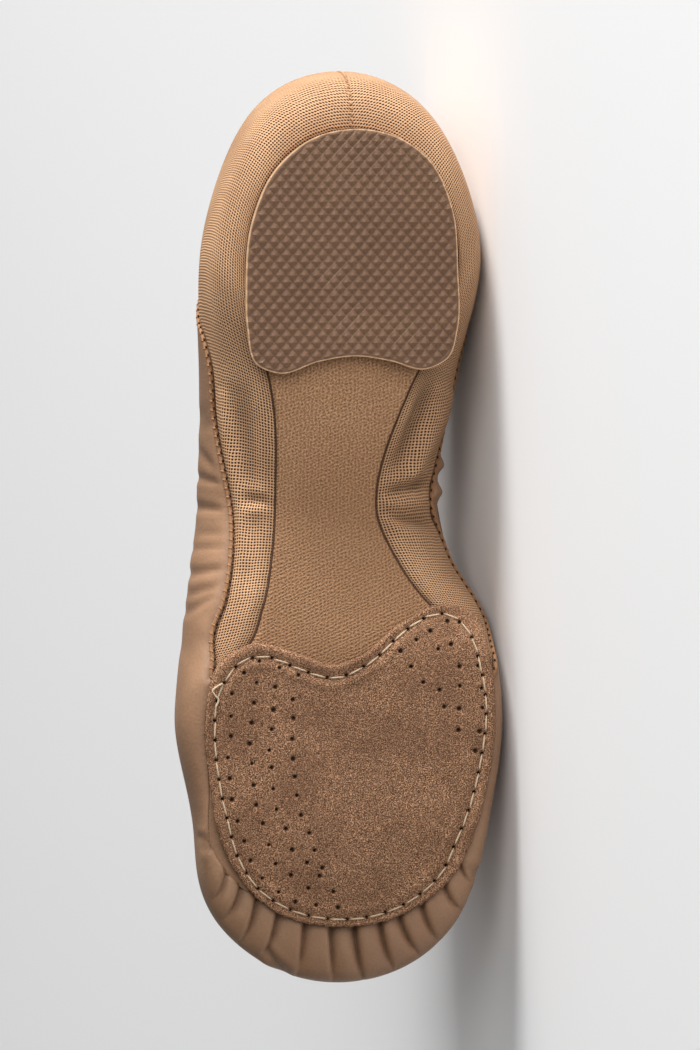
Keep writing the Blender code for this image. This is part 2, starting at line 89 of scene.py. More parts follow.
# One row for each section from heel to toe: stations in percent of a ring's run, half-widths in percent of
# the ball width, heights in percent of the instep height, and the power of the curve under the side
Section = namedtuple(
    "Section",
    "station squareness edge_lateral edge_medial edge_lateral_height edge_medial_height"
    " bulge_lateral bulge_medial bulge_height shoulder_lateral shoulder_medial shoulder_height"
    " collar_lateral collar_medial collar_height",
)
SECTIONS = [
    Section(0.0, 2.4, 0.0, 0.0, 4.4, 4.4, 0.0, 0.0, 48.0, 0.0, 0.0, 71.0, 0.0, 0.0, 93.5),
    Section(7.0, 2.4, 26.8, 28.0, 4.4, 4.4, 31.7, 32.1, 45.0, 28.7, 28.7, 71.0, 21.3, 21.3, 92.0),
    Section(20.0, 2.4, 32.2, 32.2, 4.4, 4.4, 43.6, 43.0, 39.0, 38.5, 37.9, 68.0, 27.6, 27.6, 86.3),
    Section(33.0, 2.2, 24.7, 18.6, 8.4, 11.6, 42.6, 36.8, 50.0, 38.5, 34.5, 69.5, 29.3, 28.7, 81.5),
    Section(47.0, 2.1, 23.1, 9.5, 13.7, 20.2, 42.4, 31.0, 56.5, 38.5, 31.6, 71.8, 29.3, 28.2, 79.8),
    Section(53.5, 2.4, 24.3, 14.8, 10.8, 15.5, 44.6, 34.4, 50.5, 39.5, 34.3, 71.2, 28.9, 27.8, 80.3),
    Section(60.0, 3.0, 27.4, 25.9, 6.8, 9.7, 47.6, 44.0, 42.0, 40.8, 37.9, 69.5, 28.2, 27.0, 81.5),
    Section(65.5, 3.3, 33.3, 42.0, 4.6, 4.8, 50.1, 46.7, 34.7, 41.7, 39.7, 66.1, 26.9, 26.0, 83.1),
    Section(68.0, 3.3, 40.2, 42.5, 4.3, 4.3, 51.0, 47.6, 31.5, 41.9, 40.0, 64.5, 26.1, 25.4, 84.3),
    Section(71.0, 3.0, 43.2, 43.1, 4.2, 4.2, 51.7, 48.2, 29.0, 42.0, 40.2, 63.0, 25.3, 24.7, 85.5),
    Section(83.0, 2.8, 43.4, 41.1, 4.2, 4.2, 45.8, 44.3, 25.8, 37.4, 35.1, 59.7, 20.1, 19.5, 91.1),
    Section(94.0, 2.6, 35.7, 31.5, 5.8, 5.8, 36.6, 33.8, 24.2, 24.7, 22.4, 57.3, 11.5, 11.5, 96.8),
    Section(100.0, 2.6, 0.0, 0.0, 8.2, 8.2, 0.0, 0.0, 24.2, 0.0, 0.0, 55.6, 0.0, 0.0, 99.2),
]

# The seam between mesh and leather on each side: percent of the run from the heel, and the level there
Seam = namedtuple("Seam", "station level")
LATERAL_SEAM = [
    Seam(23.5, 3.0), Seam(25.5, 1.6), Seam(27.5, 1.1), Seam(30.3, 0.83), Seam(38.4, 0.68),
    Seam(47.1, 0.46), Seam(58.7, 0.33), Seam(62.0, 0.38), Seam(66.4, 0.20), Seam(69.0, 0.0),
]
MEDIAL_SEAM = [
    Seam(23.5, 3.0), Seam(25.5, 1.6), Seam(28.0, 1.05), Seam(33.0, 0.90), Seam(42.0, 0.82),
    Seam(47.5, 0.66), Seam(53.0, 0.85), Seam(60.0, 0.82), Seam(66.0, 0.30), Seam(69.0, 0.0),
]

# Pad outlines as points that a smooth closed curve passes through, in shares of the length
OutlinePoint = namedtuple("OutlinePoint", "across along")
HEEL_PAD_OUTLINE = [
    OutlinePoint(-0.1175, 0.245), OutlinePoint(-0.1110, 0.171), OutlinePoint(-0.0820, 0.109),
    OutlinePoint(-0.0370, 0.075), OutlinePoint(0.0060, 0.0675), OutlinePoint(0.0490, 0.076),
    OutlinePoint(0.0840, 0.100), OutlinePoint(0.1100, 0.153), OutlinePoint(0.1165, 0.224),
    OutlinePoint(0.1160, 0.286), OutlinePoint(0.1060, 0.317), OutlinePoint(0.0810, 0.330),
    OutlinePoint(0.0410, 0.321), OutlinePoint(0.0040, 0.316), OutlinePoint(-0.0370, 0.322),
    OutlinePoint(-0.0810, 0.335), OutlinePoint(-0.1060, 0.325), OutlinePoint(-0.1160, 0.286),
]
FOREFOOT_PAD_OUTLINE = [
    OutlinePoint(-0.110, 0.630), OutlinePoint(-0.149, 0.655), OutlinePoint(-0.162, 0.708),
    OutlinePoint(-0.158, 0.779), OutlinePoint(-0.137, 0.865), OutlinePoint(-0.085, 0.923),
    OutlinePoint(-0.016, 0.940), OutlinePoint(0.054, 0.928), OutlinePoint(0.110, 0.886),
    OutlinePoint(0.143, 0.810), OutlinePoint(0.158, 0.718), OutlinePoint(0.152, 0.645),
    OutlinePoint(0.137, 0.597), OutlinePoint(0.102, 0.587), OutlinePoint(0.054, 0.608),
    OutlinePoint(0.005, 0.645), OutlinePoint(-0.020, 0.653), OutlinePoint(-0.063, 0.640),
]

# Pleats round the toe: place around the shoe, depth in mm, how far the valley drifts around by the bulge,
# and the level where it runs out
Pleat = namedtuple("Pleat", "place depth drift reach")
PLEATS = [
    Pleat(0.4175, 1.7, -0.018, 0.80), Pleat(0.4295, 2.3, -0.017, 0.90),
    Pleat(0.4414, 2.5, -0.010, 1.05), Pleat(0.4568, 2.6, -0.010, 1.00),
    Pleat(0.4748, 2.6, -0.002, 1.05), Pleat(0.4919, 2.7, 0.005, 1.15),
    Pleat(0.5081, 2.8, 0.008, 1.20), Pleat(0.5248, 2.6, 0.011, 1.05),
    Pleat(0.5379, 2.5, 0.019, 1.00), Pleat(0.5546, 2.2, 0.015, 1.05),
    Pleat(0.5744, 2.0, 0.020, 0.95), Pleat(0.5919, 1.6, 0.018, 0.75),
]

# Widths of a valley's two sides, as places around the shoe, how much it opens under the pad and the level by
# which that ends, the shares of its reach between which it fades, the crowns between valleys in mm with the
# levels between which they fade, and the places where the gathers start and end
PLEAT_SHARP_SIDE = 0.0010
PLEAT_SOFT_SIDE = 0.0034
PLEAT_MOUTH = 0.45
PLEAT_MOUTH_LEVEL = 0.4
PLEAT_FADE = (0.2, 0.85)
PLEAT_CROWN = 0.9
PLEAT_CROWN_FADE = (0.5, 1.1)
GATHERS_START = (0.395, 0.420)
GATHERS_END = (0.580, 0.610)

# Folds as seen from below, in mm: two ends, half width, depth, where a negative depth is a ridge, and the
# level by which the fold has run out
Fold = namedtuple("Fold", "across_from along_from across_to along_to width depth reach")
LEATHER_FOLDS = [
    Fold(-37.5, 106.8, -42.0, 101.7, 0.8, 0.35, 1.3), Fold(-35.6, 111.4, -42.2, 109.5, 0.7, 0.40, 1.7),
    Fold(-34.8, 118.6, -42.4, 117.8, 0.8, 0.45, 1.4), Fold(-34.3, 124.8, -42.8, 125.0, 0.6, 0.25, 1.1),
    Fold(-34.3, 128.6, -42.8, 129.2, 0.6, 0.30, 1.6), Fold(-34.8, 134.4, -43.6, 136.0, 0.8, 0.50, 1.9),
    Fold(-36.1, 139.2, -44.4, 141.9, 0.7, 0.40, 1.2), Fold(-37.5, 141.9, -45.0, 146.5, 0.8, 0.40, 1.5),
    Fold(-36.0, 115.0, -42.4, 113.4, 1.7, -0.25, 1.6), Fold(-35.0, 121.8, -42.6, 121.4, 1.6, -0.25, 1.2),
    Fold(-35.0, 131.6, -43.2, 132.6, 1.6, -0.30, 1.7), Fold(-36.8, 137.0, -44.0, 139.0, 1.5, -0.25, 1.4),
    Fold(-38.0, 97.0, -41.6, 92.0, 2.2, 0.35, 1.5), Fold(-39.5, 152.0, -45.2, 157.0, 2.6, 0.35, 1.6),
    Fold(-43.0, 205.6, -37.2, 207.6, 0.9, 0.35, 1.0), Fold(-42.6, 208.4, -37.8, 209.6, 0.8, 0.25, 0.9),
    Fold(-23.3, 236.1, -18.0, 242.5, 0.9, 1.00, 1.2), Fold(29.0, 214.0, 34.0, 216.5, 1.0, 0.40, 1.1),
    Fold(19.0, 106.0, 27.0, 106.2, 1.5, -1.60, 1.6), Fold(18.0, 113.4, 26.0, 113.8, 1.6, -1.60, 1.6),
]
MESH_FOLDS = [
    Fold(-20.0, 116.8, -28.5, 115.8, 1.0, 0.90, 1.3), Fold(-21.0, 119.8, -29.5, 119.4, 2.0, -0.45, 1.3),
    Fold(-35.0, 88.0, -29.5, 132.0, 1.6, -1.20, 1.3), Fold(-26.0, 114.0, -30.5, 88.0, 2.8, 0.75, 1.3),
    Fold(-26.0, 120.0, -26.5, 138.0, 2.2, 0.60, 1.3),
    Fold(5.0, 115.0, 19.0, 111.4, 1.2, 1.80, 1.3), Fold(6.0, 117.2, 20.1, 116.4, 1.6, -0.90, 1.3),
    Fold(7.4, 119.8, 20.6, 121.8, 1.2, 1.30, 1.3), Fold(9.0, 123.6, 20.0, 126.4, 1.8, -0.70, 1.3),
    Fold(8.0, 111.0, 19.5, 88.0, 2.2, 1.90, 1.3), Fold(14.0, 112.5, 25.0, 88.0, 1.8, -1.50, 1.3),
    Fold(14.0, 91.0, 21.5, 81.0, 2.8, 0.60, 1.3),
]

# How much a fold widens towards its second end, the ridges beside a trough as a share of its depth and their
# distance in widths, the shares of its length where its ends fade, and how many levels it takes to run out
FOLD_SPREAD = 0.6
FOLD_RIDGE = 0.35
FOLD_RIDGE_AT = 2.0
FOLD_START = (-0.2, 0.25)
FOLD_END = (0.7, 1.4)
FOLD_RUN_OUT = 0.5

# Share of a mesh fold that the sewn edges take away, and how far into the mesh that reaches, in mm
FOLD_HELD = 0.8
FOLD_HELD_WIDTH = 3.0

# Columns and rows of the upper's two meshes. The vamp has its own columns over the toe, between two places
# around the shoe, and rows up to the bulge, the shoulder and the collar.
QUARTER_COLUMNS = 260
QUARTER_ROWS = 58
VAMP_TOE = (0.385, 0.615)
VAMP_TOE_COLUMNS = 311
VAMP_SIDE_COLUMNS = 180
VAMP_ROWS = (32, 15, 16)

# Relief of the upper: heights in metres, widths and distances from an edge in mm, pairs of shares of the run
# between which something starts or ends, and how deep a place is sunk where its painted shade is darkest
ARCH_PUFF = 0.7 * MM
ARCH_PUFF_AT = 3.2
ARCH_PUFF_WIDTH = 2.4
ARCH_START = (0.30, 0.36)
ARCH_END = (0.60, 0.67)
EDGE_TUCK = 0.35 * MM
EDGE_TUCK_WIDTH = 0.8
EDGE_TUCK_FROM = (0.26, 0.34)
SEWN_FROM = (0.235, 0.25)
MESH_SINK = 1.2 * MM
LEATHER_SINK = 2.0 * MM
BACK_SEAM_GROOVE = 0.25 * MM
BACK_SEAM_WIDTH = 0.9
SEAM_TUCK = 0.7 * MM
SEAM_TUCK_WIDTH = 1.6
COLLAR_ROLL = 0.6 * MM
COLLAR_ROLL_WIDTH = 2.2
LEATHER_STEP = LEATHER_WALL - MESH_WALL

# The tuck of the leather along its seam: levels of the seam where it starts, and shares of the way up to the
# collar between which it ends
LEATHER_SEWN_FROM = (0.0, 0.05)
LEATHER_SEWN_TO = (0.90, 0.99)

# The strip of leather turned in under the forefoot pad: the place where it starts, how far along the shoe the
# middle that it turns in to lies at most, its width, its overlap with the vamp, its lift and its wall
MARGIN_FROM = 0.335
MARGIN_CENTRE = 0.19
LASTING_MARGIN = 0.007
MARGIN_OVERLAP = 0.0004
MARGIN_LIFT = 0.1 * MM
MARGIN_WALL = 0.0003

# The sole panel stands proud along its middle
SOCK_CROWN = 0.5 * MM

# Heights of the underside come from a map of cells, up to a level of the upper, blurred a few times
UNDERSIDE_CELL = 0.5 * MM
UNDERSIDE_LEVEL = 0.3
UNDERSIDE_BLUR = 8

# The knit of the mesh: how far its rows lean away from the back seam, and where that ends
KNIT_LEAN = 0.75
KNIT_LEAN_END = 70.0

# Stretch of the mesh: the level where its pitch is true round the heel, the shares of the run between which
# the heel's part ends, the least share of its pitch there, how flat it lies where holes start to close into
# rows and where they are closed, and how far from the edge in mm they stay open at the heel
KNIT_MEASURE = 0.05
KNIT_HEEL = (0.25, 0.34)
KNIT_DRAW = 0.7
KNIT_STRETCH = (0.5, 0.1)
KNIT_OPEN = (4.0, 10.0)

# Forefoot pad: stitch line and pinholes as seen from below, in mm
STITCH_LINE = [
    (-34.7, 164.8), (-28.7, 158.6), (-22.7, 158.0), (-15.6, 160.7), (-4.8, 163.5), (5.1, 159.2),
    (12.9, 152.2), (20.9, 147.2), (25.0, 146.4), (30.8, 150.2), (34.4, 159.8), (36.2, 171.7),
    (34.7, 185.5), (32.0, 197.1), (28.1, 207.3), (23.9, 216.2), (16.7, 222.8), (6.3, 227.3),
    (-4.8, 228.2), (-16.1, 225.8), (-24.5, 220.7), (-30.5, 212.4), (-33.8, 201.6), (-36.2, 190.2),
    (-37.2, 179.5), (-36.5, 169.3),
]
STITCH_PITCH = 5.3
PinholeRow = namedtuple("PinholeRow", "count route")
PINHOLE_ROWS = [
    PinholeRow(4, [(-29.6, 162.2), (-25.4, 159.4), (-19.4, 160.9), (-14.7, 162.8)]),
    PinholeRow(14, [
        (-32.4, 167.7), (-33.7, 183.0), (-32.5, 198.4), (-26.4, 215.5), (-17.3, 223.0), (-3.7, 225.6),
    ]),
    PinholeRow(12, [(-26.0, 164.8), (-27.8, 181.0), (-26.5, 196.2), (-21.3, 212.8), (-12.0, 219.7)]),
    PinholeRow(12, [(-21.0, 166.3), (-22.4, 179.0), (-21.5, 195.6), (-16.3, 209.4), (-4.9, 220.7)]),
    PinholeRow(10, [(-16.3, 169.3), (-16.4, 184.0), (-15.1, 196.2), (-8.0, 214.6)]),
    PinholeRow(4, [(13.5, 156.4), (17.0, 153.3), (20.9, 151.2), (25.7, 149.1)]),
    PinholeRow(4, [(15.8, 160.4), (19.4, 165.0), (24.0, 167.1), (24.7, 171.1)]),
    PinholeRow(5, [(26.8, 154.6), (28.7, 160.2), (29.0, 165.7), (28.7, 171.7), (28.6, 177.2)]),
    PinholeRow(5, [(34.1, 160.4), (34.9, 165.4), (34.9, 170.9), (34.5, 177.8), (33.3, 183.5)]),
    PinholeRow(1, [(22.9, 155.7), (22.9, 155.7)]),
]
LOOSE_END = [(-35.2, 165.0), (-36.7, 165.8), (-37.9, 167.0), (-37.1, 168.3), (-36.3, 169.4), (-37.0, 171.2)]

# Surface of the suede: distances in mm, depths and heights in metres, and the rise of the raw edge as a share
# of its rounding
SUEDE_SEED = 7
RAW_EDGE_ROUND = 0.55
RAW_EDGE_RISE = 0.8
RAW_EDGE_JITTER = 0.12
STITCH_GROOVE = 0.35 * MM
STITCH_GROOVE_WIDTH = 0.8
PILLOW = 0.25 * MM
PILLOW_AT = 2.2
PILLOW_WIDTH = 1.2
STITCH_HOLE_RADIUS = 0.48
PINHOLE_RADIUS = (0.46, 0.68)
PINHOLE_UNREST = 0.25
HOLE_DEPTH = 1.0 * MM

# Corners of the suede: rings along its edge and the gap inside them, the spacing of an even spread, and round
# each hole the rings and the gap outside them as shares of its radius. HOLE_EDGE says between which shares
# of its radius a hole rises to its rim.
SUEDE_EDGE_RINGS = (0.25, RAW_EDGE_ROUND, 1.0)
SUEDE_EDGE_GAP = 0.3
SUEDE_SPACING = 0.75
HOLE_SIDES = 10
HOLE_RINGS = (0.5, 0.85, 1.2)
HOLE_GAP = 1.5
HOLE_EDGE = (0.55, 1.25)

# Stitches: length, width and height, and the lift over the line that they follow, in mm, the slant in
# degrees, the unrest of the slant in radians, and the seed
Stitch = namedtuple("Stitch", "size lift slant unrest seed")
PAD_STITCH = Stitch((4.9, 0.55, 0.6), 0.1, 0.0, 0.05, 3)
SEAM_WRAP = Stitch((1.7, 0.75, 0.7), 0.45, 62.0, 0.25, 5)
NEEDLE_HOLE = Stitch((0.9, 0.7, 0.5), 0.15, 0.0, 0.25, 5)
BACK_STITCH = Stitch((1.5, 0.5, 0.45), 0.15, 35.0, 0.3, 11)
PAD_STITCH_STEPS = 8
SEAM_STITCH_PITCH = 2.4
NEEDLE_HOLE_SHIFT = -0.7
BACK_STITCH_PITCH = 1.5
BACK_SEAM_LEVELS = (0.05, 2.97)

# Percent of the run by which the sewn rows between mesh and leather stop short of the seam's two ends, and
# the least height of their line over the floor
SEAM_SHORTER = (0.3, 0.6)
SEAM_CLEARANCE = 0.85 * MM

# Beads and cords: radius and lift over the line that they follow, in mm
Bead = namedtuple("Bead", "radius lift")
SEAM_BEAD = Bead(0.6, 0.1)
PANEL_CORD = Bead(0.5, 0.6)
LOOSE_THREAD = Bead(0.26, 0.0)
PANEL_CORD_STEPS = 500
LOOSE_THREAD_STEPS = 40
LOOSE_THREAD_RISE = 0.2 * MM

# Heel tread: pyramids in staggered rows, in mm, with the depth of one set of grooves as a share of the
# other's, the border round them, the angle from which an edge is sharp, the pad's middle along the shoe, and
# how much the edge of its back is coloured like the border
TREAD_PITCH = 3.26
TREAD_ROW = 1.8
TREAD_HEIGHT = 0.5 * MM
TREAD_CROSS_GROOVE = 0.68
TREAD_BORDER = 0.8
BORDER_DROP = 0.45 * MM
TREAD_SHARP = math.radians(12)
HEEL_PAD_MIDDLE = 0.2
BACK_AS_BORDER = 0.6

# Fineness: columns and rows of sheets, the least number to divide by, steps along seams, and steps between
# two given corners of an outline
MARGIN_GRID = (260, 8)
SHEET_GRID = (200, 31)
UNDERSIDE_WALL_GRID = (960, 50)
UNDERSIDE_SOCK_GRID = (640, 240)
LEAST_DIVISOR = 1e-9
SEAM_STEPS = 260
PANEL_SEAM_STEPS = 400
BACK_SEAM_STEPS = 160
SUEDE_OUTLINE_STEPS = 28
STITCH_LINE_STEPS = 10
TREAD_OUTLINE_STEPS = 12

# Pale dust in the grooves of the tread, in mm
Scuff = namedtuple("Scuff", "across along radius")
SCUFFS = [Scuff(0.0, 19.0, 15.0), Scuff(-5.4, 56.2, 4.5), Scuff(-0.5, 68.5, 6.5), Scuff(14.0, 71.0, 5.0)]

# Camera, with the image's height measured on the sole
VIEW_TURN = math.radians(8.0)
IMAGE_RIGHT = np.array([math.cos(VIEW_TURN), 0.0, -math.sin(VIEW_TURN)])
CAMERA_DISTANCE = 3.0
IMAGE_HEIGHT = 0.2811
IMAGE_CENTRE_ACROSS = -0.0008
IMAGE_CENTRE_ALONG = 0.1226
SENSOR = 36.0

# Floor and lights: metres to the right of, above and in front of the image's middle, size and watts
FLOOR_HALF_WIDTH = 6.0
Light = namedtuple("Light", "name right up front size power")
LIGHTS = [
    Light("key", -0.68, 2.6, 0.33, 0.8, 127.0), Light("overhead", -1.6, 0.9, 0.1, 1.6, 5.0),
    Light("fill", -0.3, 1.0, 1.75, 1.4, 20.0),
]
WORLD_STRENGTH = 0.19


def smooth_table(stations, values, at):
    """A smooth curve through the rows of a table that never swings past them, read at given stations."""
    stations = np.asarray(stations, float)
    values = np.asarray(values, float)
    at = np.clip(np.asarray(at, float), stations[0], stations[-1])
    rises = np.diff(values) / np.diff(stations)
    slopes = np.gradient(values, stations)
    steepest = 3 * np.minimum(np.abs(rises[:-1]), np.abs(rises[1:]))
    steepest = np.where(rises[:-1] * rises[1:] > 0, steepest, 0)
    slopes[1:-1] = np.clip(slopes[1:-1], -steepest, steepest)
    row = np.clip(np.searchsorted(stations, at, side="right") - 1, 0, len(stations) - 2)
    step = stations[row + 1] - stations[row]
    share = (at - stations[row]) / step
    rise = share * share * (3 - 2 * share)
    leave = share * (1 - share) ** 2
    arrive = share * share * (share - 1)
    between = values[row] + (values[row + 1] - values[row]) * rise
    return between + step * (slopes[row] * leave + slopes[row + 1] * arrive)


def section_column(name):
    return np.array([getattr(section, name) for section in SECTIONS]) / 100


STATIONS = section_column("station")


def run_share(around):
    """How far along its ring's run, from heel to toe, a column stands."""
    return (1 - np.cos(2 * math.pi * np.asarray(around, float))) / 2


def place_at(percent):
    """The place on the lateral side at this percent of the run."""
    return math.acos(1 - percent / 50) / (2 * math.pi)


def ring_fullness(name, side):
    """A ring's half-widths over those of a circle at the same stations, with the ends from their radii."""
    ring = RINGS[name]
    run = (ring.toe_end - ring.heel_end) * LENGTH
    half_widths = section_column(f"{name}_{side}") * BALL_WIDTH
    fullness = np.empty(len(STATIONS))
    inner = slice(1, -1)
    fullness[inner] = half_widths[inner] / (2 * np.sqrt(STATIONS[inner] * (1 - STATIONS[inner])))
    fullness[0] = math.sqrt(ring.heel_radius * BALL_WIDTH * run / 2)
    fullness[-1] = math.sqrt(ring.toe_radius * BALL_WIDTH * run / 2)
    return fullness


def by_side(lateral, columns, share):
    """A lateral and a medial column of the section table, read at shares of the run."""
    both = [smooth_table(STATIONS, column, share) for column in columns]
    return np.where(lateral, both[0], both[1])


def ring_point(name, around):
    """Points of a ring at these places around the shoe."""
    ring = RINGS[name]
    share = run_share(around)
    swing = np.sin(2 * math.pi * np.asarray(around, float))
    lateral = swing >= 0
    width = by_side(lateral, [ring_fullness(name, side) for side in ("lateral", "medial")], share)
    if name == "edge":
        columns = [section_column(f"edge_{side}_height") for side in ("lateral", "medial")]
        height = by_side(lateral, columns, share)
    else:
        height = smooth_table(STATIONS, section_column(f"{name}_height"), share)
    along = (ring.heel_end + share * (ring.toe_end - ring.heel_end)) * LENGTH
    across = -swing * width - TOE_SWING * share**6
    return np.stack([across, along, height * INSTEP_HEIGHT], axis=-1)


def hermite(start, end, leave, arrive, share):
    share = share[..., None]
    rise = share * share * (3 - 2 * share)
    bend = leave * share * (1 - share) ** 2 + arrive * share * share * (share - 1)
    return start + (end - start) * rise + bend


def last_point(around, level):
    """The smooth outer form of the upper."""
    around, level = np.broadcast_arrays(np.asarray(around, float), np.asarray(level, float))
    edge, bulge, shoulder, collar = (ring_point(name, around) for name in RINGS)
    squareness = smooth_table(STATIONS, section_column("squareness") * 100, run_share(around))
    turn = np.clip(level, 0, 1) * math.pi / 2
    out = np.sin(turn) ** (2 / squareness)
    up = 1 - np.clip(np.cos(turn), 0, 1) ** (2 / squareness)
    under = edge + (bulge - edge) * np.stack([out, out, up], axis=-1)
    low = np.linalg.norm(shoulder - bulge, axis=-1, keepdims=True)
    high = np.linalg.norm(collar - shoulder, axis=-1, keepdims=True)
    lean = ((shoulder - bulge) / low * high + (collar - shoulder) / high * low) / (low + high)
    upright = np.array([0.0, 0.0, 1.0])
    side = hermite(bulge, shoulder, upright * low, lean * low, np.clip(level - 1, 0, 1))
    top = hermite(shoulder, collar, lean * high, collar - shoulder, np.clip(level - 2, 0, 1))
    level = level[..., None]
    return np.where(level <= 1, under, np.where(level <= 2, side, top))


def outward(around, level):
    """Unit normals of the outer form, pointing away from the foot."""
    step_around, step_level = 1e-4, 1e-3
    low = np.clip(level - step_level, 0, COLLAR_LEVEL)
    high = np.clip(level + step_level, 0, COLLAR_LEVEL)
    along = last_point(around + step_around, level) - last_point(around - step_around, level)
    up = last_point(around, high) - last_point(around, low)
    return unit(np.cross(up, along))


def seam_level(around):
    """The level of the mesh and leather seam: at the collar round the heel and at the edge round the toe."""
    share = run_share(around)
    lateral = np.mod(around, 1) <= 0.5
    levels = []
    for rows in (LATERAL_SEAM, MEDIAL_SEAM):
        stations = [row.station / 100 for row in rows]
        levels.append(smooth_table(stations, [row.level for row in rows], share))
    return np.clip(np.where(lateral, *levels), 0, COLLAR_LEVEL)


def closed_curve(points, steps):
    """A smooth closed curve through points in plan, with spacing that follows their distances."""
    points = np.asarray(points, float)
    count = len(points)
    shares = np.arange(steps) / steps
    curve = []
    for here in range(count):
        before, start, end, after = (points[(here + k) % count] for k in (-1, 0, 1, 2))
        spans = [np.linalg.norm(b - a) for a, b in ((before, start), (start, end), (end, after))]
        leave = (start - before) / spans[0] * spans[1] + (end - start) / spans[1] * spans[0]
        arrive = (end - start) / spans[1] * spans[2] + (after - end) / spans[2] * spans[1]
        leave *= spans[1] / (spans[0] + spans[1])
        arrive *= spans[1] / (spans[1] + spans[2])
        curve.append(hermite(start, end, leave, arrive, shares))
    return np.concatenate(curve)


def lying_turn():
    """Turns the standing shoe onto its medial side: toe to -X, sole to -Y and a little upwards."""
    on_side = Matrix(((0, -1, 0), (0, 0, 1), (-1, 0, 0)))
    roll = Matrix.Rotation(-LIE_ROLL, 3, "X")
    pitch = Matrix.Rotation(LIE_PITCH, 3, "Y")
    return np.array(pitch @ roll @ on_side)


def lying_shift(turn):
    """The shift that brings the turned heel pad to the middle of its node's box."""
    outline = closed_curve(HEEL_PAD_OUTLINE, 4) * LENGTH
    middle = np.column_stack([outline, np.full(len(outline), HEEL_PAD_THICKNESS / 2)]) @ turn.T
    low, high = (np.array(corner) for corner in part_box("heel_pad"))
    return (low + high - middle.min(axis=0) - middle.max(axis=0)) / 2


TURN = lying_turn()
SHIFT = lying_shift(TURN)


def laid(points):
    """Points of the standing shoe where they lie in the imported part."""
    return points @ TURN.T + SHIFT


def press_on_floor(points, clearance=0.0):
    """Lifts what would lie lower than a clearance above the floor, in the standing shoe's frame."""
    up = TURN[2]
    sunk = np.clip(clearance - (points @ up + SHIFT[2]), 0, None)
    return points + sunk[..., None] * up


def smoothstep(low, high, value):
    share = np.clip((value - low) / (high - low), 0, 1)
    return share * share * (3 - 2 * share)


def bell(value, centre, width):
    return np.exp(-(((value - centre) / width) ** 2))


def unit(vectors):
    return vectors / np.linalg.norm(vectors, axis=-1, keepdims=True)


def seen_from_below(points):
    """Where points lie as the camera sees them: across and along, in mm."""
    return np.stack([points @ IMAGE_RIGHT, points[..., 1]], axis=-1) / MM


def distance_to_ring(plan, ring):
    """The distance of points in plan from a closed ring of points."""
    nearest = np.full(plan.shape[:-1], np.inf)
    for start, end in zip(ring, np.roll(ring, -1, axis=0)):
        span = end - start
        share = np.clip(((plan - start) @ span) / max(span @ span, 1e-12), 0, 1)
        gap = np.linalg.norm(plan - start - share[..., None] * span, axis=-1)
        nearest = np.minimum(nearest, gap)
    return nearest


def fold_relief(points, level, folds):
    """Troughs with small ridges beside them, and plain ridges, with soft ends, in metres outwards."""
    plan = seen_from_below(points)
    relief = np.zeros(plan.shape[:-1])
    for fold in folds:
        start, end = np.array([(fold.across_from, fold.along_from), (fold.across_to, fold.along_to)])
        span = end - start
        share = ((plan - start) @ span) / (span @ span)
        nearest = np.clip(share, 0, 1)
        width = fold.width * (1 + FOLD_SPREAD * nearest)
        gap = np.linalg.norm(plan - start - nearest[..., None] * span, axis=-1) / width
        shape = bell(gap, 0, 1)
        if fold.depth > 0:
            shape -= FOLD_RIDGE * bell(gap, FOLD_RIDGE_AT, 1)
        ends = smoothstep(*FOLD_START, share) * (1 - smoothstep(*FOLD_END, share))
        kept = 1 - smoothstep(fold.reach - FOLD_RUN_OUT, fold.reach, level)
        relief -= fold.depth * MM * shape * ends * kept
    return relief


def pleat_relief(around, level):
    """The gathers round the toe: each valley is steep on one side, with a round crown up to the next."""
    relief = np.zeros(np.broadcast(around, level).shape)
    for pleat in PLEATS:
        side = 1 if pleat.place < 0.5 else -1
        off = (around - pleat.place - pleat.drift * np.clip(level, 0, 1)) * side
        width = np.where(off < 0, PLEAT_SHARP_SIDE, PLEAT_SOFT_SIDE)
        opening = 1 + PLEAT_MOUTH * (1 - smoothstep(0, PLEAT_MOUTH_LEVEL, level))
        valley = np.exp(-np.abs(off) / (width * opening))
        fade = 1 - smoothstep(PLEAT_FADE[0] * pleat.reach, PLEAT_FADE[1] * pleat.reach, level)
        relief -= pleat.depth * MM * fade * valley
    gathered = smoothstep(*GATHERS_START, around) * (1 - smoothstep(*GATHERS_END, around))
    return relief + PLEAT_CROWN * MM * gathered * (1 - smoothstep(*PLEAT_CROWN_FADE, level))


def path_lengths(points, axis):
    """Running length along one axis of a grid of points, in mm."""
    steps = np.linalg.norm(np.diff(points, axis=axis), axis=-1)
    start = np.zeros_like(np.take(steps, [0], axis=axis))
    return np.concatenate([start, np.cumsum(steps, axis=axis)], axis=axis) / MM


def grid_mesh(name, points, cloth, attributes=None):
    """A mesh over a grid of points, with the cloth's own measure in mm as its UV map."""
    columns, rows = points.shape[:2]
    index = np.arange(columns * rows).reshape(columns, rows)
    corners = [index[:-1, :-1], index[:-1, 1:], index[1:, 1:], index[1:, :-1]]
    faces = np.stack(corners, axis=-1).reshape(-1, 4)
    return plain_mesh(name, points.reshape(-1, 3), faces, cloth.reshape(-1, 2), attributes)


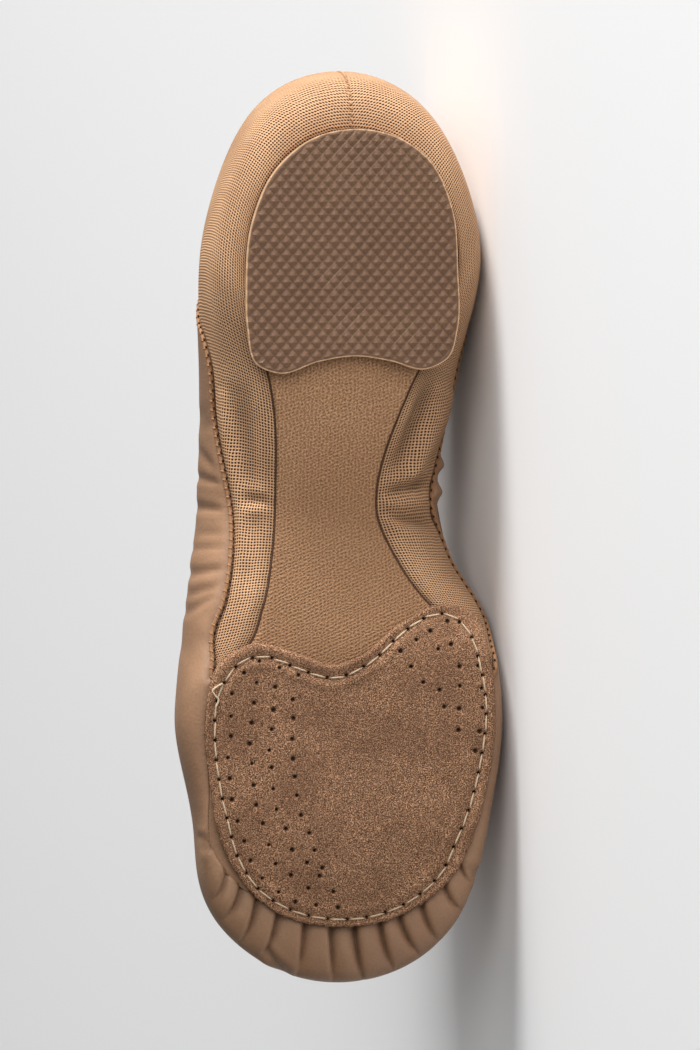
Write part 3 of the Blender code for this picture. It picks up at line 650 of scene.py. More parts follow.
def plain_mesh(name, points, faces, cloth, attributes=None):
    """A smooth mesh from points and faces, with doubles merged."""
    mesh = bpy.data.meshes.new(name)
    mesh.from_pydata(points.tolist(), [], [list(map(int, face)) for face in faces])
    corner_points = np.empty(len(mesh.loops), int)
    mesh.loops.foreach_get("vertex_index", corner_points)
    layer = mesh.uv_layers.new(name="cloth")
    layer.data.foreach_set("uv", cloth[corner_points].astype(np.float32).ravel())
    for title, values in (attributes or {}).items():
        attribute = mesh.attributes.new(title, "FLOAT", "POINT")
        attribute.data.foreach_set("value", np.asarray(values, np.float32).ravel())
    bm = bmesh.new()
    bm.from_mesh(mesh)
    bmesh.ops.remove_doubles(bm, verts=bm.verts, dist=1e-6)
    bmesh.ops.dissolve_degenerate(bm, edges=bm.edges, dist=1e-7)
    bm.to_mesh(mesh)
    bm.free()
    mesh.shade_smooth()
    return mesh


def path_mesh(name, points, facing, closed):
    """A bare line for stitches to follow, which remembers the way that the surface under it faces."""
    count = len(points)
    edges = [(k, k + 1) for k in range(count - 1)]
    if closed:
        edges.append((count - 1, 0))
    mesh = bpy.data.meshes.new(name)
    mesh.from_pydata(np.asarray(points).tolist(), edges, [])
    attribute = mesh.attributes.new("facing", "FLOAT_VECTOR", "POINT")
    facing = np.broadcast_to(np.asarray(facing, np.float32), (count, 3))
    attribute.data.foreach_set("vector", np.ascontiguousarray(facing).ravel())
    return mesh


def add_to_scene(name, data):
    holder = bpy.data.objects.new(name, data)
    bpy.context.scene.collection.objects.link(holder)
    return holder


def new_piece(name, mesh, *materials):
    piece = add_to_scene(name, mesh)
    for material in materials:
        piece.data.materials.append(material)
    return piece


def give_wall(piece, thickness, lined=False):
    """Thickens a surface inwards; a lined wall has the second material inside."""
    wall = piece.modifiers.new("wall", "SOLIDIFY")
    wall.thickness = thickness
    wall.offset = -1
    wall.use_quality_normals = True
    wall.material_offset = 1 if lined else 0


def make_plain(piece):
    """Turns what the modifiers make into the piece's own mesh."""
    bpy.context.view_layer.update()
    graph = bpy.context.evaluated_depsgraph_get()
    shaped = piece.evaluated_get(graph)
    mesh = bpy.data.meshes.new_from_object(shaped, preserve_all_data_layers=True, depsgraph=graph)
    piece.modifiers.clear()
    piece.data = mesh


def hand_in(piece, slot, *nodes):
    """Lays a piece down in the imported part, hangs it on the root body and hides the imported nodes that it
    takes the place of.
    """
    make_plain(piece)
    mesh = piece.data
    points = np.empty(len(mesh.vertices) * 3)
    mesh.vertices.foreach_get("co", points)
    mesh.vertices.foreach_set("co", laid(points.reshape(-1, 3)).ravel())
    mesh.update()
    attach(piece, "root")
    if nodes:
        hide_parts(*nodes)
    return piece


class Recipe:
    """A node tree in the making, with short calls for the nodes that are used most."""

    def __init__(self, tree):
        self.tree = tree

    def put(self, socket, value):
        if isinstance(value, bpy.types.NodeSocket):
            self.tree.links.new(value, socket)
        else:
            socket.default_value = value

    def node(self, kind, values=None, **settings):
        made = self.tree.nodes.new(kind)
        for name, value in settings.items():
            setattr(made, name, value)
        for name, value in (values or {}).items():
            socket = next(one for one in made.inputs if one.name == name and one.enabled)
            self.put(socket, value)
        return made

    def out(self, kind, values=None, **settings):
        """The first output of a new node."""
        made = self.node(kind, values, **settings)
        return next(one for one in made.outputs if one.enabled)

    def math(self, operation, *terms, kind="ShaderNodeMath"):
        made = self.node(kind, operation=operation)
        for socket, term in zip(made.inputs, terms):
            self.put(socket, term)
        return made.outputs[0]

    def vector_math(self, operation, *terms):
        return self.math(operation, *terms, kind="ShaderNodeVectorMath")

    def scaled(self, vector, scale):
        values = {"Vector": vector, "Scale": scale}
        return self.node("ShaderNodeVectorMath", values, operation="SCALE").outputs[0]

    def ease(self, value, low, high):
        """0 below low and 1 above high, with a soft step between."""
        limits = {"Value": value, "From Min": low, "From Max": high}
        return self.out("ShaderNodeMapRange", limits, interpolation_type="SMOOTHSTEP")

    def span(self, value, low, high):
        """Stretches 0 to 1 onto low to high."""
        return self.out("ShaderNodeMapRange", {"Value": value, "To Min": low, "To Max": high})

    def noise(self, vector, scale, detail):
        return self.out("ShaderNodeTexNoise", {"Vector": vector, "Scale": scale, "Detail": detail})

    def blend(self, share, first, second):
        return self.out("ShaderNodeMix", {"Factor": share, "A": first, "B": second}, data_type="RGBA")

    def stain(self, colour, mask, amount, other):
        """A colour with another laid over it where a mask says so, up to an amount."""
        return self.blend(self.math("MULTIPLY", mask, amount), colour, other)

    def attribute(self, name):
        return self.node("ShaderNodeAttribute", attribute_name=name).outputs["Fac"]

    def object_place(self):
        return self.node("ShaderNodeTexCoord").outputs["Object"]

    def cloth_place(self):
        return self.node("ShaderNodeUVMap", uv_map="cloth").outputs["UV"]

    def group(self, group, values):
        """The outputs of a shared group."""
        made = self.node("ShaderNodeGroup", node_tree=group)
        for name, value in values.items():
            self.put(made.inputs[name], value)
        return made.outputs

    def stored(self, name, data_type="FLOAT"):
        return self.out("GeometryNodeInputNamedAttribute", {"Name": name}, data_type=data_type)

    def store(self, shape, name, value):
        values = {"Geometry": shape, "Name": name, "Value": value}
        return self.out("GeometryNodeStoreNamedAttribute", values, data_type="FLOAT", domain="POINT")

    def moved(self, shape, offset):
        return self.out("GeometryNodeSetPosition", {"Geometry": shape, "Offset": offset})

    def raised_line(self, given):
        """Even places on a tree's line, lifted the way that they face, and that way."""
        line = self.out("GeometryNodeMeshToCurve", {"Mesh": given["Line"]})
        places = self.out("GeometryNodeResampleCurve", {"Curve": line, "Count": given["Count"]}, mode="COUNT")
        facing = self.stored("facing", "FLOAT_VECTOR")
        return self.moved(places, self.scaled(facing, given["Lift"])), facing

    def close(self, shape, material, end):
        """Ends a geometry tree with plain mesh in its material."""
        shape = self.out("GeometryNodeRealizeInstances", {"Geometry": shape})
        self.put(end, self.out("GeometryNodeSetMaterial", {"Geometry": shape, "Material": material}))


def tint(red, green, blue):
    """A colour from its screen values, 0 to 255."""
    def straight(value):
        value /= 255
        return value / 12.92 if value <= 0.04045 else ((value + 0.055) / 1.055) ** 2.4
    return (straight(red), straight(green), straight(blue), 1.0)


SOCKETS = {
    "value": "NodeSocketFloat", "count": "NodeSocketInt", "vector": "NodeSocketVector",
    "colour": "NodeSocketColor", "shape": "NodeSocketGeometry", "finish": "NodeSocketMaterial",
    "object": "NodeSocketObject",
}


def new_group(name, kind, inputs, outputs):
    """An empty node group with named sockets, its recipe, and its two ends."""
    group = bpy.data.node_groups.new(name, kind)
    for way, sockets in (("INPUT", inputs), ("OUTPUT", outputs)):
        for title, socket in sockets.items():
            group.interface.new_socket(title, in_out=way, socket_type=SOCKETS[socket])
    recipe = Recipe(group)
    given = recipe.node("NodeGroupInput").outputs
    result = recipe.node("NodeGroupOutput").inputs
    return group, recipe, given, result


def mottle_group():
    """Slow patches and fine flecks, as masks from 0 to 1."""
    inputs = {"Vector": "vector", "Patch Scale": "value", "Fleck Scale": "value"}
    outputs = {"Patches": "value", "Flecks": "value"}
    group, recipe, given, result = new_group("mottle", "ShaderNodeTree", inputs, outputs)
    patches = recipe.noise(given["Vector"], given["Patch Scale"], 3.0)
    flecks = recipe.noise(given["Vector"], given["Fleck Scale"], 2.0)
    recipe.put(result["Patches"], recipe.ease(patches, 0.32, 0.68))
    recipe.put(result["Flecks"], recipe.ease(flecks, 0.36, 0.64))
    return group


def weave_group():
    """Threads that cross at a pitch in mm, with the gaps and rows between them as masks, and their height."""
    inputs = {
        "Vector": "vector", "Pitch Around": "value", "Pitch Along": "value", "Stray": "value", "Gap": "value",
    }
    outputs = {"Gaps": "value", "Rows": "value", "Height": "value"}
    group, recipe, given, result = new_group("crossing_threads", "ShaderNodeTree", inputs, outputs)
    wander = recipe.node("ShaderNodeTexNoise", {"Vector": given["Vector"], "Scale": 0.35, "Detail": 1.0})
    drift = recipe.vector_math("SUBTRACT", wander.outputs["Color"], (0.5, 0.5, 0.5))
    place = recipe.vector_math("ADD", given["Vector"], recipe.scaled(drift, given["Stray"]))
    parts = recipe.node("ShaderNodeSeparateXYZ", {"Vector": place}).outputs
    waves = []
    for axis, pitch in (("X", "Pitch Around"), ("Y", "Pitch Along")):
        turns = recipe.math("DIVIDE", parts[axis], given[pitch])
        wave = recipe.math("COSINE", recipe.math("MULTIPLY", turns, 2 * math.pi))
        waves.append(recipe.math("MULTIPLY_ADD", wave, 0.5, 0.5))
    open_part = recipe.math("MULTIPLY", *waves)
    start = recipe.math("SUBTRACT", 1.0, given["Gap"])
    recipe.put(result["Gaps"], recipe.ease(open_part, start, recipe.math("ADD", start, 0.3)))
    recipe.put(result["Rows"], recipe.ease(waves[0], 0.3, 0.95))
    recipe.put(result["Height"], recipe.math("SUBTRACT", 1.0, open_part))
    return group


def sink_group():
    """Paints shade into a colour, darker where the surface sinks."""
    inputs = {"Color": "colour", "Sink": "value", "Amount": "value"}
    group, recipe, given, result = new_group("shade_in_folds", "ShaderNodeTree", inputs, {"Color": "colour"})
    share = recipe.math("MULTIPLY", given["Sink"], given["Amount"])
    recipe.put(result["Color"], recipe.blend(share, given["Color"], tint(40, 26, 18)))
    return group


MOTTLE = mottle_group()
WEAVE = weave_group()
SHADE = sink_group()


def new_finish(name, shader_values):
    """A material with its plain shader values set, its recipe and its shader."""
    material = bpy.data.materials.new(name)
    material.use_nodes = True
    shader = material.node_tree.nodes["Principled BSDF"]
    for socket, value in shader_values.items():
        shader.inputs[socket].default_value = value
    return material, Recipe(material.node_tree), shader


def cloth_values(sheen, roughness, colour, gloss):
    """Shader values of a cloth: the weight, roughness and colour of its sheen, and its gloss."""
    return {
        "Sheen Weight": sheen, "Sheen Roughness": roughness, "Sheen Tint": colour,
        "Specular IOR Level": gloss,
    }


def mottled(recipe, place, patch_scale, fleck_scale):
    """Slow patches and fine flecks for a finish, as masks."""
    scales = {"Vector": place, "Patch Scale": patch_scale, "Fleck Scale": fleck_scale}
    made = recipe.group(MOTTLE, scales)
    return made["Patches"], made["Flecks"]


def shaded(recipe, colour, mark, amount):
    """A colour with painted shade where an attribute of the mesh marks the surface as sunken."""
    values = {"Color": colour, "Sink": recipe.attribute(mark), "Amount": amount}
    return recipe.group(SHADE, values)["Color"]


def give_surface(recipe, shader, colour, mask, roughness, height, distance, strength):
    """Gives a shader its colour, a roughness that follows a mask, and a bump from a height."""
    bump = {"Height": height, "Distance": distance, "Strength": strength}
    recipe.put(shader.inputs["Base Color"], colour)
    recipe.put(shader.inputs["Roughness"], recipe.span(mask, *roughness))
    recipe.put(shader.inputs["Normal"], recipe.out("ShaderNodeBump", bump))


def leather_finish():
    """Soft tan glove leather: fine grain, slow colour drift, a low sheen and painted shade in its folds."""
    material, recipe, shader = new_finish("tan_leather", {"Coat Weight": 0.06, "Coat Roughness": 0.45})
    place = recipe.object_place()
    patches, flecks = mottled(recipe, place, 45.0, 1500.0)
    colour = recipe.blend(patches, tint(145, 109, 81), tint(156, 119, 89))
    colour = recipe.stain(colour, flecks, 0.16, tint(128, 91, 65))
    # Painted shade in the folds, pleats and tucks
    colour = shaded(recipe, colour, "sink", 0.7)
    grain = recipe.out("ShaderNodeTexVoronoi", {"Vector": place, "Scale": 1400.0}, feature="SMOOTH_F1")
    wrinkle = recipe.math("MULTIPLY", recipe.noise(place, 320.0, 3.0), 0.8)
    height = recipe.math("MULTIPLY_ADD", grain, 0.35, wrinkle)
    give_surface(recipe, shader, colour, flecks, (0.46, 0.60), height, 0.00022, 0.6)
    return material


def knit_finish():
    """Open tan mesh: light threads over holes painted dark as the shade inside them, which close into rows
    where the mesh is stretched, and painted shade in its folds.
    """
    sheen = cloth_values(0.12, 0.5, tint(226, 186, 146), 0.2)
    material, recipe, shader = new_finish("tan_mesh", sheen)
    place = recipe.cloth_place()
    patches, flecks = mottled(recipe, place, 0.06, 2.2)
    weave = recipe.group(WEAVE, {
        "Vector": place, "Pitch Around": 0.80, "Pitch Along": 0.80, "Stray": 0.5, "Gap": 0.84,
    })
    stretch = recipe.attribute("stretch")
    rows = recipe.math("MULTIPLY", weave["Rows"], recipe.math("MULTIPLY", stretch, 0.45))
    holes = recipe.math("MULTIPLY", weave["Gaps"], recipe.math("SUBTRACT", 1.0, stretch))
    gaps = recipe.math("MAXIMUM", rows, holes)
    thread = recipe.blend(patches, tint(196, 153, 116), tint(210, 167, 128))
    thread = recipe.stain(thread, flecks, 0.25, tint(140, 98, 65))
    # Holes and the gaps between rows are painted dark as the shade in them, and folds and tucks get painted
    # shade
    colour = shaded(recipe, recipe.blend(gaps, thread, tint(62, 37, 23)), "sink", 0.4)
    give_surface(recipe, shader, colour, gaps, (0.72, 0.95), weave["Height"], 0.0005, 0.8)
    return material


def canvas_finish():
    """Pebbly woven panel: small pits in leaning rows with painted shade in them, and painted shade that
    darkens it towards the forefoot.
    """
    sheen = cloth_values(0.1, 0.6, tint(210, 160, 114), 0.2)
    material, recipe, shader = new_finish("tan_canvas", sheen)
    place = recipe.cloth_place()
    patches, flecks = mottled(recipe, place, 0.05, 1.8)
    parts = recipe.node("ShaderNodeSeparateXYZ", {"Vector": place}).outputs
    leaning = recipe.math("MULTIPLY_ADD", parts["X"], 0.45, parts["Y"])
    weave = recipe.group(WEAVE, {
        "Vector": recipe.out("ShaderNodeCombineXYZ", {"X": parts["X"], "Y": leaning}),
        "Pitch Around": 1.02, "Pitch Along": 0.96, "Stray": 1.6, "Gap": 0.75,
    })
    colour = recipe.blend(patches, tint(200, 155, 117), tint(208, 163, 124))
    # Painted shade: darker towards the forefoot, along the panel
    colour = recipe.stain(colour, recipe.ease(parts["Y"], 85.0, 140.0), 0.6, tint(122, 90, 64))
    colour = recipe.stain(colour, flecks, 0.6, tint(124, 89, 61))
    # Painted shade in the pits of the weave
    colour = recipe.stain(colour, weave["Gaps"], 0.48, tint(112, 77, 50))
    height = recipe.math("MULTIPLY_ADD", flecks, -0.5, weave["Height"])
    give_surface(recipe, shader, colour, flecks, (0.8, 0.95), height, 0.0005, 0.6)
    return material


def suede_finish():
    """Brushed suede: short nap in light and dark flecks, with painted shade in its pinholes and stitch holes.
    """
    sheen = cloth_values(0.25, 0.45, tint(220, 176, 140), 0.15)
    material, recipe, shader = new_finish("brown_suede", sheen)
    place = recipe.object_place()
    patches, flecks = mottled(recipe, place, 75.0, 3400.0)
    nap = recipe.noise(place, 3800.0, 3.0)
    colour = recipe.blend(flecks, tint(96, 62, 42), tint(228, 174, 134))
    colour = recipe.stain(colour, patches, 0.45, tint(116, 79, 55))
    colour = recipe.blend(recipe.ease(nap, 0.55, 0.75), colour, tint(226, 180, 144))
    # Painted shade in the pressed pinholes and stitch holes
    colour = shaded(recipe, colour, "hole", 0.95)
    height = recipe.math("MULTIPLY_ADD", nap, 0.8, flecks)
    give_surface(recipe, shader, colour, flecks, (0.85, 1.0), height, 0.0007, 0.9)
    return material


def rubber_finish():
    """Dull brown rubber, lighter along its border and side, with pale dust in some grooves."""
    material, recipe, shader = new_finish("brown_rubber", {"IOR": 1.48})
    patches, flecks = mottled(recipe, recipe.object_place(), 70.0, 2200.0)
    in_groove = recipe.ease(recipe.attribute("groove"), 0.8, 1.0)
    dust = recipe.math("MULTIPLY", in_groove, recipe.attribute("dust"))
    edge = recipe.ease(recipe.attribute("border"), 0.4, 0.9)
    colour = recipe.blend(patches, tint(108, 77, 53), tint(116, 84, 59))
    colour = recipe.stain(colour, flecks, 0.25, tint(100, 70, 50))
    colour = recipe.stain(colour, dust, 0.6, tint(190, 156, 126))
    colour = recipe.blend(edge, colour, tint(206, 166, 128))
    give_surface(recipe, shader, colour, flecks, (0.50, 0.66), flecks, 0.00008, 0.5)
    return material


def lining_finish():
    """Pale brushed lining inside the shoe."""
    material, recipe, shader = new_finish("pale_lining", {"Sheen Weight": 0.2, "Sheen Roughness": 0.5})
    patches, flecks = mottled(recipe, recipe.object_place(), 60.0, 1600.0)
    colour = recipe.blend(patches, tint(196, 166, 138), tint(206, 178, 150))
    colour = recipe.stain(colour, flecks, 0.3, tint(170, 138, 110))
    give_surface(recipe, shader, colour, flecks, (0.85, 0.98), flecks, 0.0002, 0.6)
    return material


def thread_finish(name, light, dark):
    """Twisted sewing thread."""
    material, recipe, shader = new_finish(name, cloth_values(0.2, 0.4, light, 0.2))
    _, flecks = mottled(recipe, recipe.object_place(), 400.0, 5200.0)
    colour = recipe.blend(flecks, light, dark)
    give_surface(recipe, shader, colour, flecks, (0.6, 0.8), flecks, 0.0001, 0.6)
    return material


def stitch_tree():
    """Lays one stitch at each of a count of places on a line, along it or slanted across it."""
    inputs = {
        "Line": "shape", "Count": "count", "Size": "vector", "Lift": "value", "Slant": "value",
        "Unrest": "value", "Seed": "count", "Thread": "finish",
    }
    tree, recipe, given, result = new_group("stitch_row", "GeometryNodeTree", inputs, {"Stitches": "shape"})
    places, facing = recipe.raised_line(given)
    tangent = recipe.out("GeometryNodeInputTangent")
    along = recipe.out("FunctionNodeAlignRotationToVector", {"Vector": tangent}, axis="X")
    values = {"Rotation": along, "Vector": facing}
    upright = recipe.out("FunctionNodeAlignRotationToVector", values, axis="Z", pivot_axis="X")
    least = recipe.math("MULTIPLY", given["Unrest"], -1.0)
    values = {"Min": least, "Max": given["Unrest"], "Seed": given["Seed"]}
    unrest = recipe.out("FunctionNodeRandomValue", values, data_type="FLOAT")
    slant = recipe.out("ShaderNodeCombineXYZ", {"Z": recipe.math("ADD", given["Slant"], unrest)})
    slant = recipe.out("FunctionNodeEulerToRotation", {"Euler": slant})
    values = {"Rotation": upright, "Rotate By": slant}
    turned = recipe.out("FunctionNodeRotateRotation", values, rotation_space="LOCAL")
    stitch = recipe.out("GeometryNodeMeshUVSphere", {"Segments": 6, "Rings": 7, "Radius": 0.5})
    stitch = recipe.out("GeometryNodeSetShadeSmooth", {"Geometry": stitch})
    stitch = recipe.out("GeometryNodeTransform", {"Geometry": stitch, "Scale": given["Size"]})
    values = {"Points": places, "Instance": stitch, "Rotation": turned}
    stitches = recipe.out("GeometryNodeInstanceOnPoints", values)
    recipe.close(stitches, given["Thread"], result["Stitches"])
    return tree


def bead_tree():
    """A round bead that follows a line."""
    inputs = {"Line": "shape", "Count": "count", "Radius": "value", "Lift": "value", "Cloth": "finish"}
    tree, recipe, given, result = new_group("sewn_bead", "GeometryNodeTree", inputs, {"Bead": "shape"})
    line, _ = recipe.raised_line(given)
    circle = recipe.out("GeometryNodeCurvePrimitiveCircle", {"Resolution": 8, "Radius": given["Radius"]})
    values = {"Curve": line, "Profile Curve": circle, "Fill Caps": True}
    recipe.close(recipe.out("GeometryNodeCurveToMesh", values), given["Cloth"], result["Bead"])
    return tree


def hole_tree():
    """Presses a round hole into a surface from below at each point of another object, and marks it for the
    painted shade in the hole.
    """
    inputs = {"Surface": "shape", "Holes": "object", "Depth": "value", "Suede": "finish"}
    tree, recipe, given, result = new_group("pressed_holes", "GeometryNodeTree", inputs, {"Pierced": "shape"})
    holes = recipe.node("GeometryNodeObjectInfo", {"Object": given["Holes"]}).outputs["Geometry"]
    flat = recipe.vector_math("MULTIPLY", recipe.out("GeometryNodeInputPosition"), (1.0, 1.0, 0.0))
    values = {"Geometry": holes, "Sample Position": flat}
    nearest = recipe.node("GeometryNodeSampleNearest", values, domain="POINT").outputs["Index"]
    values = {"Geometry": holes, "Value": recipe.stored("radius"), "Index": nearest}
    radius = recipe.out("GeometryNodeSampleIndex", values, data_type="FLOAT", domain="POINT")
    near = recipe.node("GeometryNodeProximity", {"Sample Position": flat}, target_element="POINTS")
    recipe.put(near.inputs[0], holes)
    share = recipe.math("DIVIDE", near.outputs["Distance"], radius)
    hole = recipe.math("SUBTRACT", 1.0, recipe.ease(share, *HOLE_EDGE))
    offset = recipe.out("ShaderNodeCombineXYZ", {"Z": recipe.math("MULTIPLY", hole, given["Depth"])})
    pierced = recipe.store(recipe.moved(given["Surface"], offset), "hole", hole)
    recipe.close(pierced, given["Suede"], result["Pierced"])
    return tree


def tread_tree():
    """Raises a flat sheet into staggered rows of pyramids, downwards, where its tread mark says so."""
    inputs = {
        "Sheet": "shape", "Pitch": "value", "Row": "value", "Height": "value", "Cross Groove": "value",
        "Rubber": "finish",
    }
    tree, recipe, given, result = new_group("pyramid_tread", "GeometryNodeTree", inputs, {"Tread": "shape"})
    place = recipe.node("ShaderNodeSeparateXYZ", {"Vector": recipe.out("GeometryNodeInputPosition")}).outputs
    across = recipe.math("DIVIDE", place["X"], given["Pitch"])
    along = recipe.math("DIVIDE", place["Y"], recipe.math("MULTIPLY", given["Row"], 2.0))
    slopes = []
    for operation in ("ADD", "SUBTRACT"):
        cell = recipe.math("FRACT", recipe.math(operation, across, along))
        slopes.append(recipe.math("ABSOLUTE", recipe.math("SUBTRACT", cell, 0.5)))
    shallow = recipe.math("MULTIPLY", slopes[1], given["Cross Groove"])
    peak = recipe.math("MULTIPLY_ADD", recipe.math("MAXIMUM", slopes[0], shallow), -2.0, 1.0)
    raised = recipe.math("MULTIPLY", peak, recipe.stored("tread"))
    drop = recipe.math("MULTIPLY", raised, recipe.math("MULTIPLY", given["Height"], -1.0))
    tread = recipe.moved(given["Sheet"], recipe.out("ShaderNodeCombineXYZ", {"Z": drop}))
    tread = recipe.store(tread, "groove", recipe.math("SUBTRACT", 1.0, peak))
    recipe.close(tread, given["Rubber"], result["Tread"])
    return tree


def run_tree(piece, tree, values):
    """Puts a node tree on a piece, with its inputs set by their names."""
    modifier = piece.modifiers.new(tree.name, "NODES")
    modifier.node_group = tree
    for socket in tree.interface.items_tree:
        if socket.in_out == "INPUT" and socket.name in values:
            modifier[socket.identifier] = values[socket.name]


def line_length(points):
    return np.linalg.norm(np.diff(points, axis=0), axis=-1).sum()


def sew_stitches(name, path, count, stitch, thread, slot):
    """A piece with a row of stitches along a path."""
    piece = new_piece(name, path)
    run_tree(piece, STITCH_TREE, {
        "Count": count, "Size": tuple(side * MM for side in stitch.size), "Lift": stitch.lift * MM,
        "Slant": math.radians(stitch.slant), "Unrest": stitch.unrest, "Seed": stitch.seed, "Thread": thread,
    })
    return hand_in(piece, slot)


def sew_bead(name, path, count, bead, cloth, slot):
    """A piece with a round bead or cord along a path, in a count of steps."""
    piece = new_piece(name, path)
    run_tree(piece, BEAD_TREE, {
        "Count": count, "Radius": bead.radius * MM, "Lift": bead.lift * MM, "Cloth": cloth,
    })
    return hand_in(piece, slot)


def quarter_relief(base, level, share, lengths, to_seam, round_run):
    """Puff, tucks, seams, folds and rolled collar of the mesh, in metres outwards."""
    arch = smoothstep(*ARCH_START, share) * (1 - smoothstep(*ARCH_END, share))
    sewn = smoothstep(*SEWN_FROM, share)
    relief = ARCH_PUFF * arch * bell(lengths, ARCH_PUFF_AT, ARCH_PUFF_WIDTH)
    relief -= EDGE_TUCK * np.exp(-lengths / EDGE_TUCK_WIDTH) * smoothstep(*EDGE_TUCK_FROM, share)
    relief -= BACK_SEAM_GROOVE * bell(round_run, 0, BACK_SEAM_WIDTH)
    relief -= SEAM_TUCK * sewn * bell(to_seam, 0, SEAM_TUCK_WIDTH)
    held = np.maximum(bell(lengths, 0, FOLD_HELD_WIDTH), bell(to_seam, 0, FOLD_HELD_WIDTH))
    relief += fold_relief(base, level, MESH_FOLDS) * (1 - FOLD_HELD * held)
    return relief - COLLAR_ROLL * (1 - sewn) * smoothstep(COLLAR_ROLL_WIDTH, 0, to_seam)


def knit_measure(share, lengths, round_run, flatness):
    """The mesh's own measure in mm, and how far its holes are stretched shut, from 0 to 1."""
    at_heel = 1 - smoothstep(*KNIT_HEEL, share)
    steps = np.diff(lengths, axis=1, prepend=0.0)
    drawn = np.cumsum(steps * (1 - at_heel * (1 - np.clip(flatness, KNIT_DRAW, 1))), axis=1)
    lean = KNIT_LEAN * (1 - smoothstep(0, KNIT_LEAN_END, round_run))
    cloth = np.stack([round_run - lean * lengths, drawn], axis=-1)
    may_shut = np.maximum(1 - at_heel, smoothstep(*KNIT_OPEN, lengths))
    return cloth, smoothstep(*KNIT_STRETCH, flatness) * may_shut


def build_quarters(knit, lining):
    """The mesh round the heel and along both sides of the arch."""
    end = place_at(LATERAL_SEAM[-1].station)
    around = np.linspace(-end, end, 2 * QUARTER_COLUMNS + 1)[:, None]
    level = seam_level(around) * np.linspace(0, 1, QUARTER_ROWS)[None, :]
    base = last_point(around, level)
    facing = outward(around, level)
    lengths = path_lengths(base, axis=1)
    half_round = path_lengths(last_point(around, np.full_like(around, KNIT_MEASURE)), axis=0)
    round_run = np.abs(half_round - half_round[QUARTER_COLUMNS])
    share = run_share(around)
    relief = quarter_relief(base, level, share, lengths, lengths[:, -1:] - lengths, round_run)
    points = press_on_floor(base + facing * relief[..., None])
    cloth, stretch = knit_measure(share, lengths, round_run, np.abs(facing[..., 2]))
    # How far the mesh sinks in folds, tucks and seams, which sets its painted shade
    sink = np.clip(-relief / MESH_SINK, 0, 1)
    mesh = grid_mesh("quarters", points, cloth, {"sink": sink, "stretch": stretch})
    piece = new_piece("quarters", mesh, knit, lining)
    give_wall(piece, MESH_WALL, lined=True)
    return hand_in(piece, "tan_canvas", "upper")


def vamp_grid():
    """Columns of the vamp, closest together over the pleats, and its rows as levels from its lower edge."""
    start = place_at(LATERAL_SEAM[0].station)
    side = np.linspace(start, VAMP_TOE[0], VAMP_SIDE_COLUMNS, endpoint=False)
    columns = np.concatenate([side, np.linspace(*VAMP_TOE, VAMP_TOE_COLUMNS), 1 - side[::-1]])
    rows = [np.linspace(k, k + 1, count, endpoint=(k == 2)) for k, count in enumerate(VAMP_ROWS)]
    return columns[:, None], np.concatenate(rows)[None, :]


def build_vamp(leather, lining):
    """The leather over the toe, the instep and the upper sides, gathered into pleats round the toe."""
    around, rows = vamp_grid()
    seam = seam_level(around)
    level = seam + (COLLAR_LEVEL - seam) * rows / COLLAR_LEVEL
    base = last_point(around, level)
    lengths = path_lengths(base, axis=1)
    sewn = smoothstep(*LEATHER_SEWN_FROM, seam) * (1 - smoothstep(*LEATHER_SEWN_TO, rows / COLLAR_LEVEL))
    relief = LEATHER_STEP - SEAM_TUCK * sewn * bell(lengths, 0, SEAM_TUCK_WIDTH)
    relief += pleat_relief(around, level)
    relief += fold_relief(base, level, LEATHER_FOLDS)
    relief -= COLLAR_ROLL * smoothstep(COLLAR_ROLL_WIDTH, 0, lengths[:, -1:] - lengths)
    points = press_on_floor(base + outward(around, level) * relief[..., None])
    run = path_lengths(last_point(around, np.ones_like(around)), axis=0)
    cloth = np.stack([np.broadcast_to(run, lengths.shape), lengths], axis=-1)
    # How far the leather sinks in folds, pleats and its seam tuck, which sets its painted shade
    sink = np.clip((LEATHER_STEP - relief) / LEATHER_SINK, 0, 1)
    piece = new_piece("vamp", grid_mesh("vamp", points, cloth, {"sink": sink}), leather, lining)
    give_wall(piece, LEATHER_WALL, lined=True)
    return hand_in(piece, "tan_leather", "upper")


def build_lasting_margin(leather):
    """The strip of the vamp that is turned in under the forefoot pad."""
    around = np.linspace(MARGIN_FROM, 1 - MARGIN_FROM, MARGIN_GRID[0])
    edge = ring_point("edge", around)
    middle = np.stack([np.zeros_like(around), np.clip(edge[:, 1], 0, MARGIN_CENTRE), edge[:, 2]], axis=-1)
    inward = middle - edge
    inward[:, 2] = 0
    steps = np.linspace(LASTING_MARGIN, -MARGIN_OVERLAP, MARGIN_GRID[1])[None, :, None]
    points = edge[:, None] + unit(inward)[:, None] * steps
    points[..., 2] -= LEATHER_STEP - MARGIN_LIFT
    mesh = grid_mesh("lasting_margin", points, points[..., :2] / MM, {"sink": np.zeros(points.shape[:2])})
    piece = new_piece("lasting_margin", mesh, leather)
    give_wall(piece, MARGIN_WALL)
    return hand_in(piece, "tan_leather")


def edge_sides(count):
    """Points of the edge ring from heel to toe, along the lateral and along the medial side."""
    half = np.linspace(0, 0.5, count)
    return ring_point("edge", half), ring_point("edge", 1 - half)


